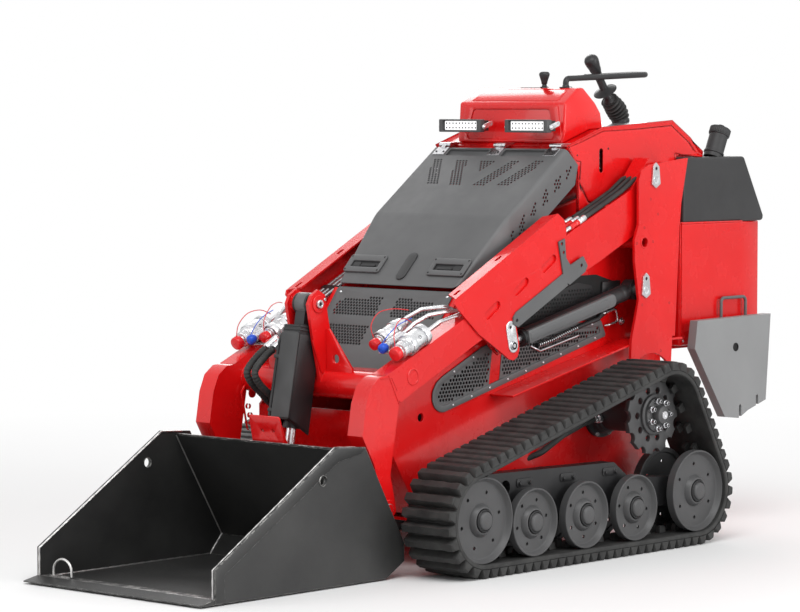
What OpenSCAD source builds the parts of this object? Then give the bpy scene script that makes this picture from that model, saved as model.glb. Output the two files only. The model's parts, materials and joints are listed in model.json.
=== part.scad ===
// Mini skid steer loader on rubber tracks, with lift arms and a bucket.
// Side outlines are lists of [y, z]: y runs rearward from the middle of the tracks, z up from the ground.

/* [Tracks] */
// Width of one track
track_w = 180; // [150:5:230]
// Distance from a side wall of the chassis to its track
track_gap = 100; // [98:1:140]
// Distance from the front idler's axle to the rear idler's
wheel_base = 958; // [920:1:1000]
// Radius of the idlers
idler_r = 120; // [110:1:125]
// Radius of the road rollers
roller_r = 96; // [85:1:98]
// Drive sprocket's axle, behind the middle of the tracks
drive_y = 352; // [330:1:370]
// Drive sprocket's axle, above the idlers' axles
drive_rise = 230; // [220:1:245]
// Thickness of the track's belt
belt_t = 14; // [10:1:18]
// Height of the lugs
lug_h = 24; // [16:1:28]
// Spacing of the lugs along the belt
lug_pitch = 36; // [30:1:60]
// Width of the steel beam between the wheel discs
beam_w = 50; // [40:1:52]
// Width of each wheel disc
disc_w = 26; // [20:1:30]

/* [Chassis] */
// Distance between the outer faces of the side walls
chassis_w = 500; // [460:2:504]
// Thickness of the side walls
wall_t = 8; // [6:1:12]
// Height of the belly plate above the ground
belly_z = 130; // [110:1:150]
// Thickness of the tower's plates
tower_t = 9; // [8:1:10]
// Room between an arm and the tower's plate beside it
tower_gap = 14; // [12:1:18]
// Lift arm's pivot, behind the middle of the tracks
pivot_y = 488; // [480:1:500]
// Lift arm's pivot, above the ground
pivot_z = 1067; // [1050:1:1090]
// Lift cylinder's lower pin, behind the middle of the tracks
base_pin_y = 443; // [435:1:455]
// Lift cylinder's lower pin, above the ground
base_pin_z = 743; // [730:1:755]
// Radius of the round hole in the tower's outer plates
tower_bore_r = 14; // [8:1:20]

/* [Arms] */
// Distance from a side wall of the chassis to the arm beside it
arm_gap = 16; // [14:1:18]
// Width of an arm
arm_w = 56; // [50:1:56]
// Radius of the arm's pivot pins
pivot_r = 15; // [12:1:18]
// Radius of the front cross tube
cross_r = 40; // [34:1:42]
// Thickness of the outer arm panels
panel_t = 6; // [4:1:6]
// Lift cylinder's barrel radius
lift_r = 24; // [20:1:24]
// Tilt cylinder's cover, width across
tilt_w = 62; // [50:1:64]

/* [Bucket] */
// Room between a side of the bucket and the track beside it
bucket_gap = 8; // [6:1:12]
// Thickness of the bucket's side plates
bucket_t = 8; // [6:1:8]
// Reach of the cutting edge ahead of the side plates
lip = 50; // [30:1:60]
// Radius of the holes near the top of the side plates
bucket_bore_r = 13; // [8:1:16]
// Bucket's hinge pin, above the ground
hinge_z = 190; // [180:1:195]

/* [Body] */
// Overhang of the body's side panels past the chassis
body_over = 5; // [4:0.5:6]
// Overhang of the hood past the body's side panels
hood_over = 3; // [1:0.5:4]
// Thickness of the hood's sheet
hood_t = 3; // [2:0.5:5]
// Width of the rear box and the tank
rear_w = 580; // [560:2:600]
// Thickness of the rear side plates
plate_t = 30; // [20:1:34]
// Radius of the hole in each rear side plate
plate_bore_r = 9; // [6:1:14]

/* [Hidden] */
$fn = 48;
fit = 0.05;           // radial running clearance of a pin or shaft
gap = 0.3;            // clearance between seated pieces

outer_r = idler_r + belt_t + lug_h;
axle_z = outer_r;
roller_z = outer_r - idler_r + roller_r;
drive_z = axle_z + drive_rise;
wall_x = chassis_w / 2;
track_in = wall_x + track_gap;
track_mid = track_in + track_w / 2;
arm_x = wall_x + arm_gap;
arm_out = arm_x + arm_w;
tower_x = arm_out + tower_gap + tower_t;
bucket_x = track_in - bucket_gap;
body_x = wall_x + body_over;  // outer face of the body's side panels
hood_x = body_x + hood_over;
pivot = [pivot_y, pivot_z];
base_pin = [base_pin_y, base_pin_z];
rod_pin = [-138, 609];        // lift cylinder's rod pin on the arm, arms down
tilt_pin = [-640, 738];       // tilt cylinder's upper pin between the ears
hinge = [-652, hinge_z];      // bucket's hinge at the feet of the arms
link_pin = [-715, 305];       // tilt cylinder's lower pin on the quick attach
panel_x = arm_out + gap;
lift_x = arm_x + arm_w / 2 - 1;
front_y = -1338;              // front edge of the bucket's side plates
rear_y = 1120;                // rear face of the rear box
y_mid = (front_y - lip + rear_y) / 2;
box_z = 562;                  // underside of the rear box
box_top = 930;
// Height of the body's top over a place y
function top_z(y) = y < 354 ? 1165 + (y - 200) * 50 / 154 : 1215 + (y - 354) * 19 / 331;
pin_r = 12;                   // lift and tilt cylinders' rod pins
hood_pin = [188, 1170];       // hood's hinge line
knuckle_r = 6;

red = [0.78, 0.02, 0.02];
grey = [0.27, 0.28, 0.29];
black = [0.07, 0.07, 0.075];
steel = [0.75, 0.76, 0.78];

function unit(v) = v / norm(v);
// Moves each edge of a counter-clockwise outline inward by t
function inset(p, t) = let (n = len(p)) [for (i = [0:n - 1])
  let (d1 = unit(p[i] - p[(i + n - 1) % n]), d2 = unit(p[(i + 1) % n] - p[i]),
       n1 = [-d1[1], d1[0]], n2 = [-d2[1], d2[0]])
  p[i] + (n1 + n2) * t / (1 + n1 * n2)];

// Puts the machine's middle over the origin
module stand() translate([0, -y_mid, 0]) children();
module both() {
  children();
  mirror([1, 0, 0]) children();
}
// Plate with a side outline, from x0 to x1
module side_plate(x0, x1, pts) translate([x0, 0, 0]) rotate([90, 0, 90]) linear_extrude(x1 - x0) polygon(pts);
// The same for drawn outlines
module side_cut(x0, x1) translate([x0, 0, 0]) rotate([90, 0, 90]) linear_extrude(x1 - x0) children();
// Round bar along x at a place [y, z]
module bar(x0, x1, r, at) translate([x0, at[0], at[1]]) rotate([0, 90, 0]) cylinder(h = x1 - x0, r = r);
function left(a, b) = unit([a[1] - b[1], b[0] - a[0]]);
// Plate along the line from a to b, between the distances t0 and t1 to its left
module along_plate(x0, x1, a, b, t0, t1) let (n = left(a, b))
  side_plate(x0, x1, [a + n * t0, b + n * t0, b + n * t1, a + n * t1]);
// Places a piece on the line from a to b, s along it, with its z axis to the line's left
module on_line(x, a, b, s) translate([x, a[0], a[1]]) rotate([atan2(b[1] - a[1], b[0] - a[0]), 0, 0])
  translate([0, s, 0]) children();
// Drawn outline [x, s] raised from the line from a to b, between t0 and t1 to its left
module on_slope(a, b, t0, t1) on_line(0, a, b, 0) translate([0, 0, t0]) linear_extrude(t1 - t0) children();
// Outline of a bar with round ends
module capsule(a, b, r) {
  for (p = [a, b]) translate(p) circle(r);
  polygon([a - left(a, b) * r, b - left(a, b) * r, b + left(a, b) * r, a + left(a, b) * r]);
}
// Round rod between two places
module rod(a, b, r) let (d = b - a) translate(a) rotate([0, acos(d[2] / norm(d)), atan2(d[1], d[0])]) cylinder(h = norm(d), r = r);
// Quarter bend of a round bar about a place [y, z], from the angle a on
module elbow(x, at, a, bend, r) translate([x, at[0], at[1]]) rotate([90, 0, 90]) rotate([0, 0, a])
  rotate_extrude(angle = 90) translate([bend, 0]) circle(r);
function inside(p, q, m) = min([for (i = [0:len(p) - 1]) cross(unit(p[(i + 1) % len(p)] - p[i]), q - p[i])]) > m;
// Rows of square holes that fill a convex counter-clockwise outline
module holes(p, pitch, size) for (u = [min([for (q = p) q[0]]):pitch:max([for (q = p) q[0]])],
  v = [min([for (q = p) q[1]]):pitch:max([for (q = p) q[1]])])
  if (inside(p, [u, v], size * 0.6)) translate([u, v]) square(size, center = true);
module twice() {
  children();
  mirror([1, 0]) children();
}
// Hollow box with a side outline
module shell(x0, x1, pts, t) difference() {
  side_plate(x0, x1, pts);
  side_plate(x0 + t, x1 - t, inset(pts, t));
}

// ---- tracks ----
path = [[-wheel_base / 2, axle_z], [drive_y, drive_z], [wheel_base / 2, axle_z]];
function heading(i) = let (d = path[(i + 1) % 3] - path[i % 3]) atan2(d[1], d[0]);
function edge(i) = norm(path[(i + 1) % 3] - path[i % 3]);
function turn(i) = (heading(i) - heading(i + 1) + 720) % 360;
pitch_r = idler_r + belt_t / 2;
function arc(i) = pitch_r * turn(i) * PI / 180;
loop_length = edge(0) + edge(1) + edge(2) + 2 * PI * pitch_r;
lugs = round(loop_length / lug_pitch / 2) * 2;
// Place and heading [y, z, angle] on the loop, s along it
function along(s, i = 0) =
  s < edge(i) ? concat(path[i % 3] + unit(path[(i + 1) % 3] - path[i % 3]) * s, heading(i)) :
  s - edge(i) < arc(i) ? concat(path[(i + 1) % 3], heading(i) - (s - edge(i)) / pitch_r * 180 / PI) :
  along(s - edge(i) - arc(i), i + 1);

// Point on the loop: s along it, r out from the wheels' centres, w further along
function spot(s, r, w = 0) = let (p = along(s))
  [p[0] - r * sin(p[2]) + w * cos(p[2]), p[1] + r * cos(p[2]) + w * sin(p[2])];

belt_r = idler_r + belt_t;
lug_root = 26;
lug_tip = 19;
guide_h = 22;
guide_w = 16;
guide_root = 30;
guide_tip = 22;
step = loop_length / lugs;
inner_r = idler_r / cos(step / pitch_r * 45 / PI);
module track() color(black) {
  translate([track_in, 0, 0]) rotate([90, 0, 90]) linear_extrude(track_w) difference() {
    polygon([for (k = [0:lugs - 1], c = [[belt_r, -lug_root], [outer_r, -lug_tip], [outer_r, lug_tip], [belt_r, lug_root]])
      spot(k * step, c[0], c[1] / 2)]);
    polygon([for (k = [0:2 * lugs - 1]) spot((k + 0.5) * step / 2, inner_r)]);
  }
  for (x = [-beam_w / 2 + 1, beam_w / 2 - 1 - guide_w]) translate([track_mid + x, 0, 0]) rotate([90, 0, 90])
    linear_extrude(guide_w) for (k = [0:2:lugs - 1])
      polygon([for (c = [[belt_r - belt_t / 2, -guide_root], [belt_r - belt_t / 2, guide_root],
        [idler_r - guide_h, guide_tip], [idler_r - guide_h, -guide_tip]]) spot(k * step, c[0], c[1] / 2)]);
}
module track_left() stand() track();
module track_right() stand() mirror([1, 0, 0]) track();

slack = wheel_base - 2 * idler_r - 6 * roller_r;
roller_y = [for (k = [0:2]) -wheel_base / 2 + idler_r + roller_r + k * 2 * roller_r + slack * (0.01 + 0.24 * k)];
axle_r = 15;
beam_top = 275;
module track_beams() color(black) stand() both() difference() {
  union() {
    side_plate(track_mid - beam_w / 2, track_mid + beam_w / 2, [
      [-wheel_base / 2 - 20, axle_z - 38], [wheel_base / 2 + 10, axle_z - 38], [wheel_base / 2 + 30, axle_z],
      [wheel_base / 2, axle_z + 40], [220, 215], [150, beam_top - 10], [-400, beam_top],
      [-wheel_base / 2 - 30, axle_z + 45], [-wheel_base / 2 - 42, axle_z]]);
    for (y = [-151, 75]) bar(wall_x, track_mid, 28, [y, 215]);
  }
  for (y = roller_y) bar(track_mid - 60, track_mid + 60, axle_r + fit, [y, roller_z]);
  for (y = [-1, 1]) bar(track_mid - 60, track_mid + 60, axle_r + fit, [y * wheel_base / 2, axle_z]);
  bar(track_mid, track_mid + 60, 20, [-330, 232]);
}
disc_out = track_w / 2 - 12;   // outer face of a wheel's disc, from the track's middle
// Half section [r, z] of a dished wheel disc with its hub and cap
function disc_section(r) = [[0, beam_w / 2 + 3], [34, beam_w / 2 + 3], [34, disc_out - disc_w], [r, disc_out - disc_w], [r, disc_out],
  [r - 5, disc_out], [r - 12, disc_out - 14], [50, disc_out - 14], [44, disc_out - 2], [34, disc_out - 2], [32, disc_out + 6],
  [22, disc_out + 10], [0, disc_out + 10]];
// Twin-disc wheel on one axle
module wheel(r, at) {
  for (s = [-1, 1]) translate([track_mid, at[0], at[1]]) rotate([0, s * 90, 0]) rotate_extrude() polygon(disc_section(r));
  bar(track_mid - beam_w / 2 - 4, track_mid + beam_w / 2 + 4, axle_r, at);
}
module idlers() color(grey) stand() both() for (s = [-1, 1]) wheel(idler_r - gap, [s * wheel_base / 2, axle_z]);
module rollers() color(grey) stand() both() for (y = roller_y) wheel(roller_r - gap, [y, roller_z]);

teeth = 11;
sprocket_t = 16;
sprocket_r = idler_r - 4;
gullet_r = 18;
module sprockets() color(grey) stand() both() translate([track_mid, drive_y, drive_z]) rotate([0, 90, 0]) {
  translate([0, 0, -sprocket_t / 2]) linear_extrude(sprocket_t) difference() {
    circle(sprocket_r);
    for (k = [0:teeth - 1]) rotate((k + 0.5) * 360 / teeth) translate([sprocket_r + 4, 0]) circle(gullet_r);
    for (k = [0:9]) rotate(k * 36) translate([sprocket_r * 0.62, 0]) circle(10);
  }
  cylinder(h = 26, r = 56);
  cylinder(h = 52, r = 26);
  for (k = [0:6]) rotate(k * 360 / 7) translate([41, 0, 0]) cylinder(h = 46, r = 7);
}
module drive_motors() color(grey) stand() both() {
  bar(wall_x, wall_x + 40, 80, [drive_y, drive_z]);
  bar(wall_x + 39, track_mid - sprocket_t / 2, 58, [drive_y, drive_z]);
}

// ---- chassis ----
nose_low = [-490, 470];       // back of the nose panel, lower and upper edge
nose_high = [-268, 760];
nose_bottom = [-452, 150];
nose_mid = [-575, 353];
nose_top = [-575, 440];
chassis_side = [nose_mid, nose_bottom, [nose_bottom[0], belly_z], [560, belly_z], [640, 300], [640, 930],
  [300, 930], [-274, 700], [-440, 560], nose_top];
grille_side = [[-396, 490], [-398, 465], [-388, 445], [-371, 433], [-350, 429], [374, 607], [350, 655], [-25, 644], [-186, 604], [-352, 532], [-380, 515]];
// The opening behind the grille, ahead of its divider and behind it
function cut_line(p, a, b) = [for (i = [0:len(p) - 1]) let (q = p[(i + 1) % len(p)], u = cross(b - a, p[i] - a), v = cross(b - a, q - a))
  each concat(u >= 0 ? [p[i]] : [], u * v < 0 ? [p[i] + (q - p[i]) * u / (u - v)] : [])];
opening = inset(grille_side, 18);
windows = [cut_line(opening, [-170, 400], [-128, 700]), cut_line(opening, [-78, 700], [-120, 400])];
module chassis() color(red) stand() {
  both() difference() {
    side_plate(wall_x - wall_t, wall_x, chassis_side);
    side_cut(wall_x - 2 * wall_t, wall_x + wall_t) for (p = windows) polygon(p);
    bar(wall_x - 20, wall_x + 20, 12, [-442, 421]);
  }
  translate([-wall_x + wall_t, -452, belly_z]) cube([chassis_w - 2 * wall_t, 1010, 8]);
  along_plate(-wall_x + wall_t, wall_x - wall_t, nose_mid, nose_top, -wall_t, 0);
  along_plate(-wall_x + wall_t, wall_x - wall_t, nose_bottom, nose_mid, -wall_t, 0);
  translate([-wall_x + wall_t, 632, 300]) cube([chassis_w - 2 * wall_t, 8, 630]);
  translate([-wall_x + wall_t, 632, box_z - 12 - gap]) cube([chassis_w - 2 * wall_t, 440, 12]);
  both() along_plate(190, wall_x - wall_t + 1, nose_low, nose_high, -14, -gap);
}
module fenders() color(red) stand() both()
  side_plate(wall_x + gap, tower_x - tower_t - 1, [[-144, 462], [429, 588], [640, 588], [640, 594], [427, 594], [-146, 468]]);
module side_grilles() color(grey) stand() both() {
  side_cut(wall_x + gap, wall_x + 5) difference() {
    polygon(grille_side);
    polygon(opening);
  }
  side_cut(wall_x + gap, wall_x + 1.5) for (p = windows) difference() {
    polygon(inset(p, -1));
    holes(p, 20, 11);
  }
}
tower_side = [[378, 531], [570, 524], [601, 931], [648, 1130], [459, 1112], [426, 1098], [412, 1068], [413, 936],
  [394, 893], [395, 828], [415, 715], [382, 600]];
tower_hole = [440, 884];
module towers() color(red) stand() both() {
  difference() {
    side_cut(tower_x - tower_t, tower_x) difference() {
      polygon(tower_side);
      translate([474, 443]) circle(112);
    }
    bar(tower_x - 20, tower_x + 20, pivot_r + fit, pivot);
    bar(tower_x - 20, tower_x + 20, pivot_r + fit, base_pin);
    bar(tower_x - 20, tower_x + 20, tower_bore_r, tower_hole);
  }
  difference() {
    bar(wall_x + gap, tower_x - tower_t + 1, tower_bore_r + 6, tower_hole);
    bar(wall_x, tower_x - tower_t + 2, tower_bore_r + 3, tower_hole);
  }
  side_plate(wall_x + gap, tower_x - tower_t, [[570, 600], [600, 600], [620, 930], [592, 930]]);
  side_plate(body_x + gap, tower_x - tower_t + 1, [[592, 929], [620, 929], [640, 1118], [612, 1118]]);
}
module tower_pins() color(steel) stand() both() for (p = [pivot, base_pin]) {
  bar((p == pivot ? body_x : wall_x) + gap, tower_x + 6, pivot_r, p);
  difference() {
    side_plate(tower_x + gap, tower_x + 6, [p + [-20, -12], p + [0, -24], p + [20, -12], p + [14, 40], p + [0, 52], p + [-14, 40]]);
    bar(tower_x, tower_x + 10, pivot_r - 1, p);
    bar(tower_x, tower_x + 10, 5, p + [0, 34]);
  }
}
module engine() color(grey) stand() translate([-180, -150, belly_z + 8 + gap]) cube([360, 520, 480]);

// ---- body ----
nose_w = 448;
nose_windows = [[[24, 268], [200, 268], [200, 323], [24, 342]], [[24, 168], [150, 168], [190, 237], [24, 237]]];
module nose_grille() color(grey) stand() on_slope(nose_low, nose_high, 0, 6) difference() {
  translate([-nose_w / 2, 0]) square([nose_w, norm(nose_high - nose_low)]);
  for (p = nose_windows) twice() holes(p, 18, 12);
}
body_outline = [[236, box_top + gap], [700, box_top + gap], [700, 1140], [820, 1140], [774, 1182], [685, 1234], [354, 1215], [200, 1165], [240, 1110]];
module body_sides() color(red) stand() difference() {
  shell(-body_x, body_x, body_outline, 4);
  side_cut(-body_x - 1, body_x + 1) capsule([347, 1096], [347, 1152], 4);
}
console_w = 410;
console_z = 1339;             // top of the console
console_side = [[232, top_z(232) + gap], [354, top_z(354) + gap], [417, top_z(417) + gap], [407, 1265], [344, console_z], [318, console_z], [240, 1294]];
function console_front(z) = 232 + (z - top_z(232)) * 8 / (1294 - top_z(232));
module console() color(red) stand() intersection() {
  shell(-console_w / 2, console_w / 2, console_side, 4);
  translate([0, 600, 0]) rotate([90, 0, 0]) linear_extrude(500) polygon([[-console_w / 2, 1100], [console_w / 2, 1100],
    [console_w / 2, 1294], [console_w / 2 - 15, console_z + 1], [-console_w / 2 + 15, console_z + 1], [-console_w / 2, 1294]]);
}
deck_t = 3;
module deck_plate() color(steel) stand() side_plate(-200, 200,
  [for (p = [[430, 0], [670, 0], [670, deck_t], [430, deck_t]]) [p[0], top_z(p[0]) + gap + p[1]]]);
lamp_w = 164;
lamp_z = [1208, 1246];        // underside and top of a lamp
lamp_y = [152, 172, 204];     // face of a lamp, back of its frame and tips of its fins
module work_lamps() color(black) stand() for (x = [-129, 129]) translate([x, 0, 0]) {
  side_plate(-lamp_w / 2, lamp_w / 2, [[lamp_y[0], lamp_z[0]], [lamp_y[1], lamp_z[0]], [lamp_y[1], lamp_z[1]], [lamp_y[0], lamp_z[1]]]);
  translate([0, 0, lamp_z[0] + 5]) linear_extrude(lamp_z[1] - lamp_z[0] - 10) difference() {
    translate([-lamp_w / 2 + 8, lamp_y[1] - 1]) square([lamp_w - 16, lamp_y[2] - lamp_y[1]]);
    for (k = [-5:5]) translate([k * 13 - 4, lamp_y[1] + 8]) square([8, 40]);
  }
  side_plate(-20, 20, [[lamp_y[1], 1217], [console_front(1217) - gap, 1217], [console_front(1237) - gap, 1237], [lamp_y[1], 1237]]);
  for (s = [-1, 1]) side_cut(s * (lamp_w / 2 + 2) - 2, s * (lamp_w / 2 + 2) + 2) capsule([lamp_y[0] + 12, 1222], [lamp_y[2], 1238], 11);
}
module control_lever() color(black) stand() translate([50, 331, console_z + gap]) {
  cylinder(h = 10, r = 7);
  translate([0, 0, 9]) cylinder(h = 30, r1 = 9, r2 = 16);
  translate([0, 0, 38]) cylinder(h = 10, r1 = 16, r2 = 9);
}
stick_x = 96;
// Ribs of the joystick's boot: [y, z, lean]
boot = [[632, 1250, 10], [620, 1266, 20], [605, 1283, 32], [584, 1300, 42]];
stick = [[0, 581, 1303], 36]; // foot and lean of the joystick's stem
module joystick() color(black) stand() translate([stick_x, 0, 0]) {
  translate([0, 637, top_z(637) + deck_t + 3 * gap]) rotate([3.3, 0, 0]) cylinder(h = 14, r = 27);
  for (p = boot) translate([0, p[0], p[1]]) rotate([p[2], 0, 0]) translate([0, 0, -9]) {
    cylinder(h = 8, r1 = 20, r2 = 28);
    translate([0, 0, 7.9]) cylinder(h = 8, r1 = 27.9, r2 = 19);
  }
  rod([0, 636, 1242], [0, 605, 1283], 15);
  rod([0, 606, 1280], stick[0] + [0, -10, 12], 14);
  translate(stick[0]) rotate([stick[1], 0, 0]) {
    cylinder(h = 90, r = 12);
    translate([0, 0, 30]) cylinder(h = 12, r1 = 37, r2 = 14);
    translate([0, 0, 86]) cylinder(h = 58, r1 = 13, r2 = 22);
    translate([0, 0, 143]) sphere(22.2);
  }
}
rail_r = 9;
rail_bend = 16;
rail = [130, 350, 1366];      // end of the handrail's elbow
rail_run = [350, 190];        // lengths of its outer and inner leg
rail_turn = 34;               // radius of the turn between them
module handrail() color(black) stand() {
  translate([rail[0], rail[1] - rail_bend, console_z + gap]) cylinder(h = rail[2] - rail_bend - console_z + 1, r = rail_r - 0.1);
  elbow(rail[0], [rail[1], rail[2] - rail_bend], 90, rail_bend, rail_r);
  translate(rail) rotate([2.2, 0, 0]) {
    translate([0, -1, 0]) rotate([-90, 0, 0]) cylinder(h = rail_run[0] + 2, r = rail_r - 0.1);
    translate([-rail_turn, rail_run[0], 0]) rotate_extrude(angle = 180) translate([rail_turn, 0]) circle(rail_r);
    translate([-2 * rail_turn, rail_run[0] - rail_run[1], 0]) rotate([-90, 0, 0]) cylinder(h = rail_run[1] + 1, r = rail_r - 0.1);
  }
}
hinge_x = [-215, 0, 215];
module hood_hinges() color(steel) stand() for (x = hinge_x) difference() {
  union() {
    bar(x - 22, x + 22, knuckle_r, hood_pin);
    side_plate(x - 22, x + 22, [hood_pin + [2, -5], [201, top_z(201) + gap], [228, top_z(228) + gap], [228, top_z(228) + 3], hood_pin + [0, 6]]);
  }
  translate([x - 8, hood_pin[0] - 8, hood_pin[1] - 8]) cube([16, 60, 40]);
}
module hood_leaves() color(steel) stand() for (x = hinge_x) {
  bar(x - 8 + gap, x + 8 - gap, knuckle_r, hood_pin);
  along_plate(x - 22, x + 22, hood_top - [29, 21.2], hood_top, gap, 2.5);
  along_plate(x - 8 + gap, x + 8 - gap, hood_top - [4, 2.92], hood_top + [6, 4.38], 1, 6);
}
module rear_box() color(red) stand() difference() {
  translate([0, 0, box_z]) linear_extrude(box_top - box_z) polygon([[-rear_w / 2, 679], [rear_w / 2, 679], [rear_w / 2, 990],
    [rear_w / 2 - 30, rear_y], [-rear_w / 2 + 30, rear_y], [-rear_w / 2, 990]]);
  translate([0, 0, box_z + 4]) linear_extrude(box_top - box_z - 8) polygon([[-rear_w / 2 + 4, 683], [rear_w / 2 - 4, 683], [rear_w / 2 - 4, 988],
    [rear_w / 2 - 34, rear_y - 4], [-rear_w / 2 + 34, rear_y - 4], [-rear_w / 2 + 4, 988]]);
}
module fuel_tank() color(black) stand() side_plate(-rear_w / 2 + 4, rear_w / 2 - 4,
  [[704, box_top + gap], [1110, box_top + gap], [1114, 946], [1012, 1130], [704, 1130]]);
neck_r = 29;
module filler_caps() color(black) stand() {
  difference() {
    translate([rear_w / 2 - 55, 912, 1120]) rotate([-25, 0, 0]) {
      cylinder(h = 100, r = neck_r);
      translate([0, 0, 84]) cylinder(h = 22, r = neck_r + 4);
      translate([0, -12, 105]) cylinder(h = 10, r = 11);
    }
    translate([0, 800, 1000]) cube([rear_w, 300, 130 + gap]);
  }
  translate([rear_w / 2 - 100, 860, 1130 + gap]) cylinder(h = 16, r = 26);
}
handle = [[874, 625], [998, 699]];  // lower front and upper rear corner of a grab handle
handle_r = 5;
handle_bend = 14;
module grab_handles() color(grey) stand() both() let (x = rear_w / 2 + 12, top = handle[1][1]) {
  for (y = [handle[0][0], handle[1][0]]) {
    translate([x, y, handle[0][1]]) cylinder(h = top - handle_bend - handle[0][1] + 1, r = handle_r - 0.1);
    bar(rear_w / 2 + gap, x, handle_r - 1, [y, handle[0][1] + 8]);
  }
  translate([x, handle[0][0] + handle_bend - 1, top]) rotate([-90, 0, 0])
    cylinder(h = handle[1][0] - handle[0][0] - 2 * handle_bend + 2, r = handle_r - 0.1);
  elbow(x, [handle[0][0] + handle_bend, top - handle_bend], 90, handle_bend, handle_r);
  elbow(x, [handle[1][0] - handle_bend, top - handle_bend], 0, handle_bend, handle_r);
}
plate_side = [[681, 556], [833, 340], [905, 332], [950, 353], [1042, 380], [1065, 645], [694, 640]];
module rear_plates() color(grey) stand() both() difference() {
  union() {
    side_cut(rear_w / 2 + gap + 30, rear_w / 2 + 30 + plate_t) difference() {
      polygon(plate_side);
      for (p = [[910, 320], [997, 345]]) capsule(p, p + [0, 48], 5.5);
    }
    for (y = [760, 960]) bar(rear_w / 2 + gap, rear_w / 2 + 40, 20, [y, 600]);
  }
  bar(rear_w / 2 + 20, rear_w / 2 + 80, plate_bore_r, [885, 551]);
}

// ---- hood ----
hood_low = [-272, 774];       // hood's front edge, crease and rear edge
hood_crease = [-81, 969];
hood_top = [182, 1161];
hood_side = [hood_low, [-113, 843], [64, 944], [222, 1056], [236, 1114], hood_top, hood_crease];
low_left = left(hood_low, hood_crease);
top_left = left(hood_crease, hood_top);
hood_hollow = [hood_low - low_left * hood_t + (hood_low - hood_crease) * 0.07, [300, 860], [300, 1170],
  hood_top - top_left * hood_t + (hood_top - hood_crease) * 0.06, hood_crease - (low_left + top_left) * hood_t / (1 + low_left * top_left)];
// Openings in the hood's top [x, s] and in its sides [y, z]
top_windows = [[[0, 193], [46, 273], [-46, 273]], [[16, 144], [74, 144], [136, 273], [82, 273]], [[107, 147], [165, 147], [226, 273], [176, 273]]];
side_windows = [[[179, 1061], [211, 1094], [210, 1125], [179, 1100]], [[125, 1024], [161, 1052], [161, 1097], [125, 1072]],
  [[73, 986], [104, 1007], [108, 1063], [73, 1040]], [[19, 959], [51, 964], [55, 1021], [21, 1003]],
  [[-31, 905], [1, 925], [1, 982], [-31, 963]], [[-84, 880], [-52, 895], [-52, 944], [-84, 918]]];
recess = [30, 185, 287];      // shallow recess beside the middle hinge: inner side, outer side, front edge s
module hood() color(grey) stand() difference() {
  union() {
    difference() {
      intersection() {
        side_plate(-hood_x, hood_x, hood_side);
        translate([0, 0, 700]) linear_extrude(500) polygon([[-224, -280], [224, -280], [hood_x, -81], [hood_x, 300], [-hood_x, 300], [-hood_x, -81]]);
      }
      intersection() {
        side_plate(-hood_x + hood_t, hood_x - hood_t, hood_hollow);
        translate([0, 0, 700]) linear_extrude(500) polygon([[-224 + hood_t, -290], [224 - hood_t, -290], [hood_x - hood_t, -81],
          [hood_x - hood_t, 310], [-hood_x + hood_t, 310], [-hood_x + hood_t, -81]]);
      }
    }
    on_slope(hood_crease, hood_top, -11, -1) twice() translate([recess[0] - 3, recess[2] - 3]) square([recess[1] - recess[0] + 6, 40]);
  }
  on_slope(hood_crease, hood_top, -8, 2) twice() translate([recess[0], recess[2]]) square([recess[1] - recess[0], 60]);
  on_slope(hood_crease, hood_top, -hood_t - 2, 2) for (p = top_windows) twice() polygon(p);
  for (s = [-1, 1]) side_cut(s > 0 ? hood_x - 8 : -hood_x - 2, s > 0 ? hood_x + 2 : -hood_x + 8) for (p = side_windows) polygon(p);
}
screen_t = 1.5;
module hood_screens() color(black) stand() {
  on_slope(hood_crease, hood_top, -hood_t - gap - screen_t, -hood_t - gap) difference() {
    translate([-234, 138]) square([468, 142]);
    for (p = top_windows) twice() holes(p, 14, 9);
  }
  both() side_cut(hood_x - hood_t - 1 - screen_t, hood_x - hood_t - 1) difference() {
    polygon([[-84, 866], [60, 948], [215, 1058], [222, 1118], [186, 1148], [-81, 952]]);
    for (p = side_windows) holes(p, 13, 8.5);
  }
}
module hood_latches() color(grey) stand() {
  on_slope(hood_low, hood_crease, gap, 7) twice() difference() {
    polygon([[92, 46], [98, 40], [220, 40], [226, 46], [232, 100], [226, 106], [98, 106], [92, 100]]);
    translate([107, 60]) square([106, 23]);
  }
  on_slope(hood_low, hood_crease, gap, 4) capsule([0, 37], [0, 107], 17);
}

// ---- arms ----
arm_side = [[-604, 478], [-280, 626], [255, 832], [442, 914], [540, 1020], [552, 1067], [530, 1110], [488, 1131],
  [404, 1039], [140, 929], [-350, 690], [-660, 556]];
leg_side = [[-682, 190], [-670, 166], [-652, 160], [-634, 166], [-622, 190], [-645, 282], [-610, 474], [-600, 530],
  [-650, 556], [-689, 552], [-722, 528], [-742, 482], [-757, 395], [-712, 318], [-684, 240]];
module arms() color(red) stand() {
  both() difference() {
    union() {
      side_plate(arm_x, arm_out, arm_side);
      side_plate(arm_x, arm_out, leg_side);
      side_plate(arm_x, arm_x + 8, [rod_pin + [-28, -10], rod_pin + [0, -30], rod_pin + [28, -10], [-60, 720], [-230, 660]]);
    }
    bar(arm_x - 5, arm_out + 5, pivot_r + fit, pivot);
    bar(arm_x - 5, arm_out + 5, hinge_r + fit, hinge);
    bar(arm_x - 5, arm_x + 20, pin_r + fit, rod_pin);
  }
  bar(-arm_x - 2, arm_x + 2, cross_r, [-590, 515]);
  both() difference() {
    side_plate(36, 46, [[-625, 500], [-560, 500], [-575, 600], [-600, 700], [-612, 762], [-640, 778], [-668, 762], [-680, 738], [-660, 640]]);
    bar(30, 60, pin_r + fit, tilt_pin);
  }
  translate([-arm_x, -560, 545]) cube([2 * arm_x, 80, 8]);
}
panel_front = [-384, 752];     // ends of the panel's top edge
panel_rear = [60, 978];
ovals = [[[-246, 700], [-205, 726]], [[-123, 761], [-81, 788]], [[-1, 822], [41, 849]]];
flange_w = 38;
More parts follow.
